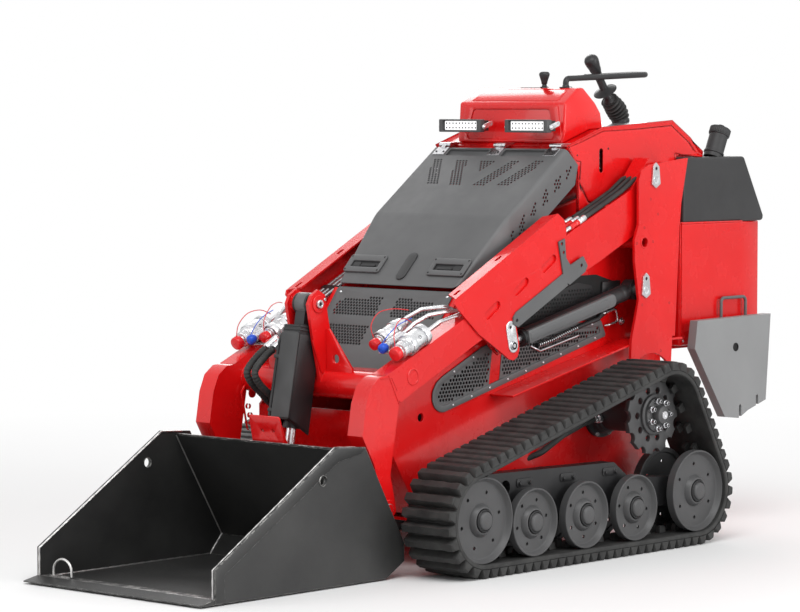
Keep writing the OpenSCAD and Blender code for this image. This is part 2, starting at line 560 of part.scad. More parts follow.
module arm_panels() color(red) stand() both() {
  difference() {
    side_cut(panel_x, panel_x + panel_t) difference() {
      polygon([panel_front, [-388, 738], [-364, 715], [-284, 648], [-176, 585], [-158, 572], [-136, 567], [-118, 576], [-110, 594],
        [-112, 620], [-128, 680], [-118, 698], [86, 806], [98, 824], [98, 932], [88, 960], panel_rear]);
      for (p = ovals) capsule(p[0], p[1], 12);
    }
    bar(panel_x - 5, panel_x + 20, pin_r + fit, rod_pin);
  }
  on_slope(panel_front, panel_rear, -panel_t, 0) difference() {
    polygon([[panel_x + 1, 4], [panel_x + 1, 496], [panel_x - flange_w, 478], [panel_x - flange_w, 22]]);
    for (s = [34, 232]) capsule([panel_x - 16, s - 10], [panel_x - 16, s + 10], 5);
  }
}
module arm_brackets() color(grey) stand() both() side_cut(panel_x + panel_t + gap, panel_x + panel_t + 5) difference() {
  union() {
    polygon([[84, 783], [108, 772], [178, 806], [190, 824], [170, 852], [112, 828], [92, 850], [86, 906], [58, 897]]);
    polygon([[-142, 670], [-120, 661], [100, 770], [86, 808], [-128, 704], [-141, 690]]);
  }
  for (p = [[73, 891], [81, 866], [162, 826], [-126, 680]]) translate(p) circle(5);
}
arm_low = [-660, 556];        // points on the arm's top edge, front to rear
arm_bend = [-350, 690];
arm_mid = [140, 929];
arm_high = [404, 1039];
// Round piece lying on the arm's top edge, from s0 to s1 along the edge from a to b
module on_arm(x, a, b, s0, s1, r) on_line(x, a, b, s0)
  translate([0, 0, r + gap]) rotate([-90, 0, 0]) cylinder(h = s1 - s0, r = r);
module arm_pipes() color(steel) stand() both() for (x = [arm_x + 10, arm_x + 28])
  on_arm(x, arm_bend, arm_mid, 30, 530, 5);
module arm_hoses() color(black) stand() both() for (x = [arm_x + 9, arm_x + 27, arm_x + 45])
  on_arm(x, arm_mid, arm_high, 20, 280, 8);
module couplers() color(steel) stand() both() for (x = [arm_x + 12, arm_x + 42])
  on_arm(x, arm_low, arm_bend, 60, 210, 14);
module arm_pins() color(steel) stand() {
  both() bar(arm_x - 3, arm_x + 10, pin_r, rod_pin);
  both() bar(panel_x - 2, panel_x + panel_t + 6, pin_r, rod_pin);
  bar(-52, 52, pin_r, tilt_pin);
}

// ---- cylinders ----
lift_dir = rod_pin - base_pin;
lift_angle = atan2(lift_dir[1], lift_dir[0]);
lift_len = norm(lift_dir);
module lift_barrel() color(black) translate([lift_x, base_pin[0], base_pin[1]]) rotate([lift_angle, 0, 0]) difference() {
  union() {
    translate([0, 40, 0]) rotate([-90, 0, 0]) cylinder(h = lift_len - 110, r = lift_r);
    rotate([-90, 0, 0]) cylinder(h = 50, r = 16);
    translate([-18, 0, 0]) rotate([0, 90, 0]) cylinder(h = 36, r = 30);
  }
  translate([-30, 0, 0]) rotate([0, 90, 0]) cylinder(h = 60, r = pivot_r + fit);
  translate([0, 60, 0]) rotate([-90, 0, 0]) cylinder(h = lift_len, r = 13);
}
module lift_rod() color(steel) translate([lift_x, base_pin[0], base_pin[1]]) rotate([lift_angle, 0, 0]) difference() {
  union() {
    translate([0, 80, 0]) rotate([-90, 0, 0]) cylinder(h = lift_len - 100, r = 13 - fit);
    translate([-13, lift_len, 0]) rotate([0, 90, 0]) cylinder(h = 26, r = 24);
  }
  translate([-30, lift_len, 0]) rotate([0, 90, 0]) cylinder(h = 60, r = pin_r);
}
module lift_barrel_left() stand() lift_barrel();
module lift_barrel_right() stand() mirror([1, 0, 0]) lift_barrel();
module lift_rod_left() stand() lift_rod();
module lift_rod_right() stand() mirror([1, 0, 0]) lift_rod();

tilt_dir = link_pin - tilt_pin;
tilt_angle = atan2(tilt_dir[1], tilt_dir[0]);
tilt_len = norm(tilt_dir);
tilt_t = 4;
tilt_back = 38;                // reach of the cover behind the cylinder
module tilt_barrel() color(grey) stand() translate([0, tilt_pin[0], tilt_pin[1]]) rotate([tilt_angle, 0, 0]) difference() {
  union() {
    difference() {
      side_plate(-tilt_w / 2, tilt_w / 2, [[66, -46], [tilt_len - 112, -52], [tilt_len - 76, tilt_back], [84, tilt_back]]);
      side_plate(-tilt_w / 2 + tilt_t, tilt_w / 2 - tilt_t, [[60, -46 + tilt_t], [tilt_len, -52 + tilt_t], [tilt_len, tilt_back + 10], [60, tilt_back + 10]]);
    }
    translate([-tilt_w / 2 + 1, 66, -44]) cube([tilt_w - 2, 26, 68]);
    translate([-18, 0, -20]) cube([36, 70, 40]);
    translate([0, 60, 0]) rotate([-90, 0, 0]) cylinder(h = tilt_len - 150, r = 26);
    translate([-26, 0, 0]) rotate([0, 90, 0]) cylinder(h = 52, r = 30);
  }
  translate([-30, 0, 0]) rotate([0, 90, 0]) cylinder(h = 60, r = pin_r + fit);
  translate([0, 100, 0]) rotate([-90, 0, 0]) cylinder(h = tilt_len, r = 14);
}
module tilt_rod() color(steel) stand() translate([0, tilt_pin[0], tilt_pin[1]]) rotate([tilt_angle, 0, 0]) difference() {
  union() {
    translate([0, 150, 0]) rotate([-90, 0, 0]) cylinder(h = tilt_len - 165, r = 14 - fit);
    translate([-16, tilt_len, 0]) rotate([0, 90, 0]) cylinder(h = 32, r = 20);
  }
  translate([-30, tilt_len, 0]) rotate([0, 90, 0]) cylinder(h = 60, r = pin_r);
}

// ---- bucket ----
bucket_z = 4;
floor_t = 8;
back_low = [-633, 63];        // outside of the bucket's back, lower and upper edge
back_high = [-815, 366];
module bucket() color(black) stand() {
  both() difference() {
    side_plate(bucket_x - bucket_t, bucket_x, [[front_y, bucket_z], [-683, bucket_z], [-611, 45], [-611, 95], [-767, 370],
      [-880, 378], [front_y, 95]]);
    bar(bucket_x - 20, bucket_x + 20, bucket_bore_r, [-933, 292]);
  }
  side_plate(-bucket_x + bucket_t, bucket_x - bucket_t, [[front_y, bucket_z], [-686, bucket_z], back_low, back_high,
    back_high + [-7, -4], back_low + [-10, 2], [-690, bucket_z + floor_t], [front_y, bucket_z + floor_t]]);
  side_plate(-bucket_x, bucket_x, [[front_y - lip, bucket_z], [front_y, bucket_z], [front_y, bucket_z + 14], [front_y - lip, bucket_z + 4]]);
}
qa_t = 12;
qa_x = arm_x - 6;
hinge_r = 14;
// Point behind the bucket's back: s up along it, t out from it
function behind(s, t) = back_low + unit(back_high - back_low) * s - left(back_low, back_high) * t;
module quick_attach() color(red) stand() {
  side_plate(-qa_x + 10, qa_x - 10, [behind(0, gap), behind(0, qa_t), behind(325, qa_t), behind(325, gap)]);
  both() difference() {
    side_plate(qa_x - 10, qa_x, [behind(60, gap), behind(60, qa_t), hinge + [30, -25], hinge + [30, 22], hinge + [0, 34],
      behind(190, qa_t), behind(190, gap)]);
    bar(qa_x - 20, qa_x + 10, hinge_r, hinge);
  }
  both() bar(qa_x - 10, arm_out + 6, hinge_r, hinge);
  both() side_plate(22, 34, [behind(210, qa_t - 1), link_pin + [10, -26], link_pin + [24, -8], link_pin + [20, 16], link_pin + [0, 26],
    behind(320, qa_t - 1)]);
  both() bar(34, 42, pin_r + 4, link_pin);
}

chassis();
towers();
tower_pins();
track_left();
track_right();
track_beams();
idlers();
rollers();
sprockets();
drive_motors();
engine();
side_grilles();
fenders();
nose_grille();
body_sides();
console();
deck_plate();
work_lamps();
control_lever();
joystick();
handrail();
hood_hinges();
rear_box();
fuel_tank();
filler_caps();
grab_handles();
rear_plates();
hood();
hood_screens();
hood_leaves();
hood_latches();
arms();
arm_panels();
arm_brackets();
arm_pipes();
arm_hoses();
couplers();
arm_pins();
lift_barrel_left();
lift_barrel_right();
lift_rod_left();
lift_rod_right();
tilt_barrel();
tilt_rod();
bucket();
quick_attach();
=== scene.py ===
"""Mini skid steer loader: the looks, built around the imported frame.

Each operator makes one piece or one group of like pieces. Sizes are in metres, in the frame's own axes:
+X to the machine's left, +Y to its rear, +Z up.
"""
import json
import math

import bmesh
import bpy
from bpy.props import FloatProperty, FloatVectorProperty, PointerProperty
from mathutils import Matrix, Vector
from mathutils.geometry import delaunay_2d_cdt


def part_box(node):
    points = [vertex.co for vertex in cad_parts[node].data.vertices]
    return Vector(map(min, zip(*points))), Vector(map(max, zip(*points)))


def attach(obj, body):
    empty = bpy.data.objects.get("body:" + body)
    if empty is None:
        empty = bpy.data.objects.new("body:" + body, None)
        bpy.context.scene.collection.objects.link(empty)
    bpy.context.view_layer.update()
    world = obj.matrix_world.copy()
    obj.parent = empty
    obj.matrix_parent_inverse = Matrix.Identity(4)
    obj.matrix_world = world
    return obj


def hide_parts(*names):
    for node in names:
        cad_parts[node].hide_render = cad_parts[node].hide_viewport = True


bl_info = {
    "name": "Mini skid steer loader",
    "version": (1, 0, 0),
    "blender": (4, 5, 0),
    "location": "View3D > Sidebar > Loader",
    "description": "Finishes and fine pieces of a compact tracked loader",
    "category": "Object",
}

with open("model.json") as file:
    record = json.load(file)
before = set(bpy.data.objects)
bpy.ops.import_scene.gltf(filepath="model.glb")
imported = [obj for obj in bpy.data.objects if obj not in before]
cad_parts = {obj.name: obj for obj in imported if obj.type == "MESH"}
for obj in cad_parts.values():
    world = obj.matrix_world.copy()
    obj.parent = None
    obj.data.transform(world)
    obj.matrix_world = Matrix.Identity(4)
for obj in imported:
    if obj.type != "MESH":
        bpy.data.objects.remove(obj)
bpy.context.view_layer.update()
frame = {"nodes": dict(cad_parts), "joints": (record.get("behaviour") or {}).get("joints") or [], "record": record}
NODES = frame["nodes"]
MM = 0.001
MID_Y = (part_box("idlers")[0].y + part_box("idlers")[1].y) / 2   # middle of the tracks


# ---------------------------------------------------------------- materials

class Shader:
    """A node tree under construction, with short names for the nodes that the finishes share."""

    def __init__(self, name):
        self.material = bpy.data.materials.new(name)
        self.material.use_nodes = True
        self.tree = self.material.node_tree
        self.bsdf = self.tree.nodes["Principled BSDF"]
        self.place = self.node("ShaderNodeTexCoord").outputs["Object"]

    def node(self, kind, **settings):
        made = self.tree.nodes.new(kind)
        for key, value in settings.items():
            if hasattr(made, key):
                setattr(made, key, value)
            else:
                made.inputs[key.replace("_", " ")].default_value = value
        return made

    def link(self, out, into):
        self.tree.links.new(out, into)

    def noise(self, scale, detail, rough=0.5):
        """A cloud pattern fixed to the piece, 0 to 1."""
        n = self.node("ShaderNodeTexNoise")
        n.inputs["Scale"].default_value = scale
        n.inputs["Detail"].default_value = detail
        n.inputs["Roughness"].default_value = rough
        self.link(self.place, n.inputs["Vector"])
        return n.outputs["Fac"]

    def ramp(self, fac, low, high, a=0.35, b=0.65):
        """A colour that goes from low to high as the pattern goes from a to b."""
        r = self.node("ShaderNodeValToRGB")
        r.color_ramp.elements[0].position = a
        r.color_ramp.elements[1].position = b
        r.color_ramp.elements[0].color = (*low, 1)
        r.color_ramp.elements[1].color = (*high, 1)
        self.link(fac, r.inputs["Fac"])
        return r.outputs["Color"]

    def span(self, fac, low, high, a=0.3, b=0.7):
        """A value that goes from low to high as the pattern goes from a to b."""
        m = self.node("ShaderNodeMapRange")
        for socket, value in zip(("From Min", "From Max", "To Min", "To Max"), (a, b, low, high)):
            m.inputs[socket].default_value = value
        self.link(fac, m.inputs["Value"])
        return m.outputs["Result"]

    def mix(self, fac, a, b):
        """One colour over another."""
        m = self.node("ShaderNodeMix", data_type="RGBA")
        for socket, value in ((m.inputs[0], fac), (m.inputs[6], a), (m.inputs[7], b)):
            if isinstance(value, bpy.types.NodeSocket):
                self.link(value, socket)
            else:
                socket.default_value = value if not hasattr(value, "__len__") else (*value[:3], 1)
        return m.outputs[2]

    def edges(self, radius):
        """A normal that looks rounded along edges."""
        round_edge = self.node("ShaderNodeBevel", samples=4)
        round_edge.inputs["Radius"].default_value = radius
        return round_edge.outputs["Normal"]

    def wear(self, radius):
        """A mask that is 1 along sharp edges."""
        edge = self.edges(radius)
        flat = self.node("ShaderNodeNewGeometry").outputs["Normal"]
        dot = self.node("ShaderNodeVectorMath", operation="DOT_PRODUCT")
        self.link(edge, dot.inputs[0])
        self.link(flat, dot.inputs[1])
        return self.span(dot.outputs["Value"], 1.0, 0.0, 0.75, 0.98)

    def bump(self, height, strength, distance, normal):
        """Raises the surface by a pattern."""
        b = self.node("ShaderNodeBump")
        b.inputs["Strength"].default_value = strength
        b.inputs["Distance"].default_value = distance
        self.link(height, b.inputs["Height"])
        self.link(normal, b.inputs["Normal"])
        self.link(b.outputs["Normal"], self.bsdf.inputs["Normal"])

    def set(self, **values):
        """Sets or links the shader's own sockets."""
        for key, value in values.items():
            socket = self.bsdf.inputs[key.replace("_", " ")]
            if isinstance(value, bpy.types.NodeSocket):
                self.link(value, socket)
            else:
                socket.default_value = (*value, 1) if hasattr(value, "__len__") and len(value) == 3 else value


def gloss_paint(name, colour, deep):
    """Gloss paint on plate: faint orange peel, a little unevenness in tone, rounded edges."""
    s = Shader(name)
    tone = s.ramp(s.noise(3.0, 4.0), deep, colour, 0.25, 0.6)
    s.set(Base_Color=tone, Roughness=s.span(s.noise(14.0, 5.0), 0.19, 0.32))
    s.set(Coat_Weight=0.28, Coat_Roughness=0.06, IOR=1.5, Specular_IOR_Level=0.36)
    s.bump(s.noise(160.0, 2.0), 0.06, 0.4 * MM, s.edges(2.2 * MM))
    return s.material


def satin_paint(name, colour, light, rough=0.42, grain=900.0, bump=0.12):
    """Powder coat with a fine grain."""
    s = Shader(name)
    s.set(Base_Color=s.ramp(s.noise(5.0, 5.0), colour, light, 0.3, 0.75))
    s.set(Roughness=s.span(s.noise(22.0, 4.0), rough - 0.06, rough + 0.08), Specular_IOR_Level=0.4)
    s.bump(s.noise(grain, 2.0), bump, 0.3 * MM, s.edges(1.6 * MM))
    return s.material


def rubber(name, colour, worn):
    """Moulded rubber, dusty grey where it is worn."""
    s = Shader(name)
    s.set(Base_Color=s.ramp(s.noise(18.0, 6.0, 0.6), colour, worn, 0.35, 0.8))
    s.set(Roughness=s.span(s.noise(40.0, 4.0), 0.52, 0.74), Specular_IOR_Level=0.35)
    s.bump(s.noise(420.0, 3.0), 0.2, 0.4 * MM, s.edges(2.5 * MM))
    return s.material


def metal(name, colour, rough, spread=0.08, grain=0.1):
    """Bright metal with fine turning marks."""
    s = Shader(name)
    stretch = s.node("ShaderNodeMapping")
    stretch.inputs["Scale"].default_value = (40.0, 220.0, 220.0)
    s.link(s.place, stretch.inputs["Vector"])
    n = s.node("ShaderNodeTexNoise")
    n.inputs["Scale"].default_value = 3.0
    s.link(stretch.outputs["Vector"], n.inputs["Vector"])
    s.set(Base_Color=s.ramp(s.noise(25.0, 4.0), [c * 0.82 for c in colour], colour), Metallic=1.0)
    s.set(Roughness=s.span(n.outputs["Fac"], rough - spread / 2, rough + spread))
    s.bump(n.outputs["Fac"], grain, 0.1 * MM, s.edges(1.0 * MM))
    return s.material


def worn_black(name):
    """Black textured paint, rubbed to bare metal along sharp edges."""
    s = Shader(name)
    speck = s.noise(700.0, 3.0)
    base = s.ramp(s.noise(4.0, 6.0, 0.6), (0.011, 0.011, 0.011), (0.035, 0.035, 0.034), 0.3, 0.75)
    rub = s.node("ShaderNodeMath", operation="MULTIPLY")
    s.link(s.wear(3.0 * MM), rub.inputs[0])
    s.link(s.span(s.noise(60.0, 5.0, 0.7), 0.0, 1.0, 0.42, 0.55), rub.inputs[1])
    s.set(Base_Color=s.mix(rub.outputs[0], base, (0.55, 0.54, 0.52)), Metallic=rub.outputs[0])
    s.set(Roughness=s.span(speck, 0.34, 0.56))
    s.bump(speck, 0.25, 0.4 * MM, s.edges(1.5 * MM))
    return s.material


def worn_edge(name):
    """Black paint scraped to bare steel in streaks."""
    s = Shader(name)
    bare = s.span(s.noise(34.0, 8.0, 0.75), 0.0, 1.0, 0.47, 0.60)
    s.set(Base_Color=s.mix(bare, (0.035, 0.035, 0.035), (0.42, 0.41, 0.40)), Metallic=bare)
    s.set(Roughness=s.span(s.noise(220.0, 4.0), 0.3, 0.5))
    s.bump(s.noise(500.0, 3.0), 0.3, 0.3 * MM, s.edges(1.0 * MM))
    return s.material


def lamp_face(name):
    """White plate of a lamp, with a faint painted glow that stands in for the bright reflection on it."""
    s = Shader(name)
    s.set(Base_Color=s.ramp(s.noise(60.0, 2.0), (0.82, 0.83, 0.84), (0.9, 0.9, 0.9)), Roughness=0.25)
    # painted glow: emission that whitens the face the way its reflection would
    s.set(Emission_Color=(1.0, 1.0, 1.0), Emission_Strength=0.55)
    s.bump(s.noise(300.0, 2.0), 0.05, 0.2 * MM, s.edges(0.6 * MM))
    return s.material


def bright(name):
    """Nickel-plated fittings, almost white."""
    s = Shader(name)
    s.set(Base_Color=s.ramp(s.noise(40.0, 3.0), (0.56, 0.565, 0.58), (0.80, 0.805, 0.82)), Metallic=0.85)
    s.set(Roughness=s.span(s.noise(90.0, 3.0), 0.2, 0.34))
    s.bump(s.noise(700.0, 2.0), 0.06, 0.1 * MM, s.edges(0.8 * MM))
    return s.material


def finishes():
    """Every finish by the name of the record's slot."""
    return {
        "red_paint": gloss_paint("red_gloss_paint", (0.72, 0.006, 0.007), (0.64, 0.004, 0.005)),
        "grey_paint": satin_paint("grey_powder_coat", (0.095, 0.096, 0.098), (0.125, 0.126, 0.128), 0.46),
        "light_grey_paint": satin_paint("light_grey_paint", (0.22, 0.223, 0.225), (0.25, 0.253, 0.255)),
        "dark_grey_paint": satin_paint("dark_grey_paint", (0.036, 0.036, 0.037), (0.050, 0.050, 0.051), 0.44),
        "black_paint": satin_paint("black_paint", (0.012, 0.012, 0.013), (0.020, 0.020, 0.021), 0.42),
        "wheel_grey": satin_paint("wheel_grey_paint", (0.055, 0.055, 0.056), (0.078, 0.078, 0.08), 0.44),
        # painted shadow: a near-black finish laid in holes, gaps and recesses where shade falls
        "shadow": satin_paint("painted_shadow", (0.004, 0.004, 0.004), (0.008, 0.008, 0.008), 0.7),
        "lamp_face": lamp_face("lamp_face"),
        "bright": bright("polished_fittings"),
        "red_cap": satin_paint("red_rubber_cap", (0.66, 0.008, 0.012), (0.74, 0.014, 0.018), 0.3, 500.0),
        "blue_cap": satin_paint("blue_rubber_cap", (0.008, 0.07, 0.55), (0.012, 0.10, 0.66), 0.3, 500.0),
        "worn_edge": worn_edge("worn_edge"),
        "weld": metal("bright_weld_bead", (0.62, 0.61, 0.60), 0.34, 0.15, 0.6),
        "rubber": rubber("track_rubber", (0.018, 0.018, 0.018), (0.05, 0.05, 0.048)),
        "steel": metal("zinc_plated_steel", (0.74, 0.74, 0.76), 0.26),
        "plastic": satin_paint("moulded_black_plastic", (0.022, 0.022, 0.023), (0.034, 0.034, 0.035), 0.5,
                               600.0),
        "iron": satin_paint("dark_cast_iron", (0.03, 0.03, 0.032), (0.05, 0.05, 0.052), 0.5, 300.0, bump=0.4),
        "bucket": worn_black("worn_black_bucket"),
    }


FINISH = {}


def finish_for(slot):
    """The finish of a slot; all are made at the first call."""
    if not FINISH:
        FINISH.update(finishes())
    return FINISH[slot]


# ---------------------------------------------------------------- shapes

HOLE_SIDES = 8          # corners of a punched hole
HOLE_MARGIN = 1.1       # least distance from a hole's centre to its window's edge, in radii
ROW_RISE = 0.866        # distance between staggered rows, in spacings


def reach(*nodes):
    """Lowest and highest corner of some nodes, in millimetres from the middle of the tracks."""
    low = Vector([min(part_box(n)[0][k] for n in nodes) for k in range(3)])
    high = Vector([max(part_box(n)[1][k] for n in nodes) for k in range(3)])
    return [Vector((p.x / MM, (p.y - MID_Y) / MM, p.z / MM)) for p in (low, high)]


def joint_place(name):
    """Where a joint's axis is, [y, z] in millimetres from the middle of the tracks."""
    at = next(j for j in frame["joints"] if j["name"] == name)["pos_m"]
    return Vector(((at[1] - MID_Y) / MM, at[2] / MM))


def basis(origin, u, v, w):
    """The frame with these three axes at a place."""
    m = Matrix((u, v, w)).transposed().to_4x4()
    m.translation = Vector(origin)
    return m


def beside(centre, sign=1):
    """Outlines [y, z] round a centre, raised towards +X, or towards -X with sign -1."""
    return basis(centre, (0, sign, 0), (0, 0, 1), (sign, 0, 0))


def side(x=0.0):
    """Outlines [y, z], raised towards +X."""
    return beside((x, 0, 0))


def moved(place, x, y, z):
    """A frame moved along its own axes."""
    return place @ Matrix.Translation((x, y, z))


def plan(z):
    """Outlines [x, y], raised upward."""
    return basis((0, 0, z), (1, 0, 0), (0, 1, 0), (0, 0, 1))


def facing(y):
    """Outlines [x, z], raised towards the front."""
    return basis((0, y, 0), (1, 0, 0), (0, 0, 1), (0, -1, 0))


def slope(a, b):
    """Outlines [x, s] on the sheet that runs from a to b, each [y, z], raised to its left."""
    d = (Vector(b) - Vector(a)).normalized()
    return basis((0, *a), (1, 0, 0), (0, d.x, d.y), (0, -d.y, d.x))


def above(x, y, z):
    """Outlines round a place, raised upward."""
    return basis((x, y, z), (1, 0, 0), (0, 1, 0), (0, 0, 1))


def pointing(place, towards):
    """A frame at a place whose third axis points towards a direction."""
    return Matrix.Translation(Vector(place)) @ Vector(towards).to_track_quat("Z", "Y").to_matrix().to_4x4()


def outward(*place):
    """A frame at a place whose third axis points to the machine's left."""
    return pointing(place, (1, 0, 0))


def leaning(angle):
    """A direction that leans forward from upright, by an angle in degrees."""
    return Vector((0, -math.sin(math.radians(angle)), math.cos(math.radians(angle))))


def polar(r, angle):
    """The point at a distance and a direction from the origin."""
    return Vector((math.cos(angle), math.sin(angle))) * r


def ring_of(count, r, start=0.0):
    """Points spread evenly round a circle about the origin."""
    return [polar(r, start + math.tau * k / count) for k in range(count)]


def fine(path, step):
    """Points at most about a step apart along a path, without its last one."""
    out = []
    for a, b in zip(path, path[1:]):
        a, b = Vector(a), Vector(b)
        count = max(2, int((b - a).length / step))
        out += [a.lerp(b, k / count) for k in range(count)]
    return out


def smooth(marks, steps):
    """A smooth curve through the marks, with so many points between two of them."""
    out = []
    last = len(marks) - 1
    for i in range(last):
        a, b, c, d = marks[max(0, i - 1)], marks[i], marks[i + 1], marks[min(last, i + 2)]
        for k in range(steps):
            t = k / steps
            out.append(0.5 * (2 * b + (c - a) * t + (2 * a - 5 * b + 4 * c - d) * t * t
                              + (3 * b - a - 3 * c + d) * t ** 3))
    return out + [marks[-1]]


def around(ring):
    """Each item of a closed ring with the next one."""
    return zip(ring, ring[1:] + ring[:1])


def left(a, b):
    """The direction square to the line from a to b, on its left."""
    d = (Vector(b) - Vector(a)).normalized()
    return Vector((-d.y, d.x))


def inset(points, t):
    """A counter-clockwise outline with each edge moved inward by t."""
    out = []
    for i, q in enumerate(points):
        a, b = left(points[i - 1], q), left(q, points[(i + 1) % len(points)])
        out.append(Vector(q) + (a + b) * t / max(0.15, 1 + a.dot(b)))
    return out


def rounded(points, radius, steps, closed=True):
    """An outline or path with its corners turned to arcs."""
    out = []
    for i, q in enumerate(points):
        q = Vector(q)
        r = radius[i] if hasattr(radius, "__len__") else radius
        if r <= 0 or (not closed and i in (0, len(points) - 1)):
            out.append(q)
            continue
        a, b = Vector(points[i - 1]) - q, Vector(points[(i + 1) % len(points)]) - q
        corner = a.angle(b)
        if corner > 3.08:
            out.append(q)
            continue
        t = min(r / math.tan(corner / 2), 0.49 * a.length, 0.49 * b.length)
        r = t * math.tan(corner / 2)
        centre = q + (a.normalized() + b.normalized()).normalized() * (r / math.sin(corner / 2))
        u, v = q + a.normalized() * t - centre, q + b.normalized() * t - centre
        sweep = u.angle(v)
        for k in range(steps + 1):
            f = k / steps
            out.append(centre + (u * math.sin((1 - f) * sweep) + v * math.sin(f * sweep)) / math.sin(sweep))
    return out


def circle(centre, r, n, start=0.0):
    """A counter-clockwise ring of n points."""
    return [Vector((centre[0] + r * math.cos(start + math.tau * k / n),
                    centre[1] + r * math.sin(start + math.tau * k / n))) for k in range(n)]


def capsule(a, b, r, n=8):
    """A bar with round ends from a to b."""
    a, b = Vector(a), Vector(b)
    base = math.atan2(b.y - a.y, b.x - a.x)
    ends = []
    for centre, start in ((a, base + math.pi / 2), (b, base - math.pi / 2)):
        ends += [centre + polar(r, start + math.pi * k / n) for k in range(n + 1)]
    return ends


def rectangle(x0, y0, x1, y1, r=0.0, steps=3):
    """A rectangle between two corners, its own corners rounded to r."""
    corners = [Vector(p) for p in ((x0, y0), (x1, y0), (x1, y1), (x0, y1))]
    return rounded(corners, r, steps) if r else corners


def holes_in(outline, pitch, r):
    """Staggered rows of small holes that fill a convex outline."""
    xs, ys = [p[0] for p in outline], [p[1] for p in outline]
    edges = [(Vector(a), left(a, b)) for a, b in around(outline)]
    rise = pitch * ROW_RISE
    found = []
    for row in range(int((max(ys) - min(ys)) / rise) + 1):
        for col in range(int((max(xs) - min(xs)) / pitch) + 2):
            q = Vector((min(xs) + (col + row % 2 / 2) * pitch, min(ys) + row * rise + rise / 2))
            if all(inward.dot(q - a) > r * HOLE_MARGIN for a, inward in edges):
                found.append(circle(q, r, HOLE_SIDES))
    return found


def punched_in(outlines, pitch, r):
    """The holes of several windows."""
    return [hole for outline in outlines for hole in holes_in(outline, pitch, r)]


def filled(outline, holes):
    """Points and triangles that fill an outline and leave its holes open."""
    points, rings = [Vector(p) for p in outline], [list(range(len(outline)))]
    for hole in holes:
        rings.append(list(range(len(points), len(points) + len(hole))))
        points += [Vector(p) for p in hole]
    verts, _, faces, _, _, origin = delaunay_2d_cdt(points, [], rings, 1, 1e-4, True)
    return verts, [f for f, o in zip(faces, origin) if list(o) == [0]]


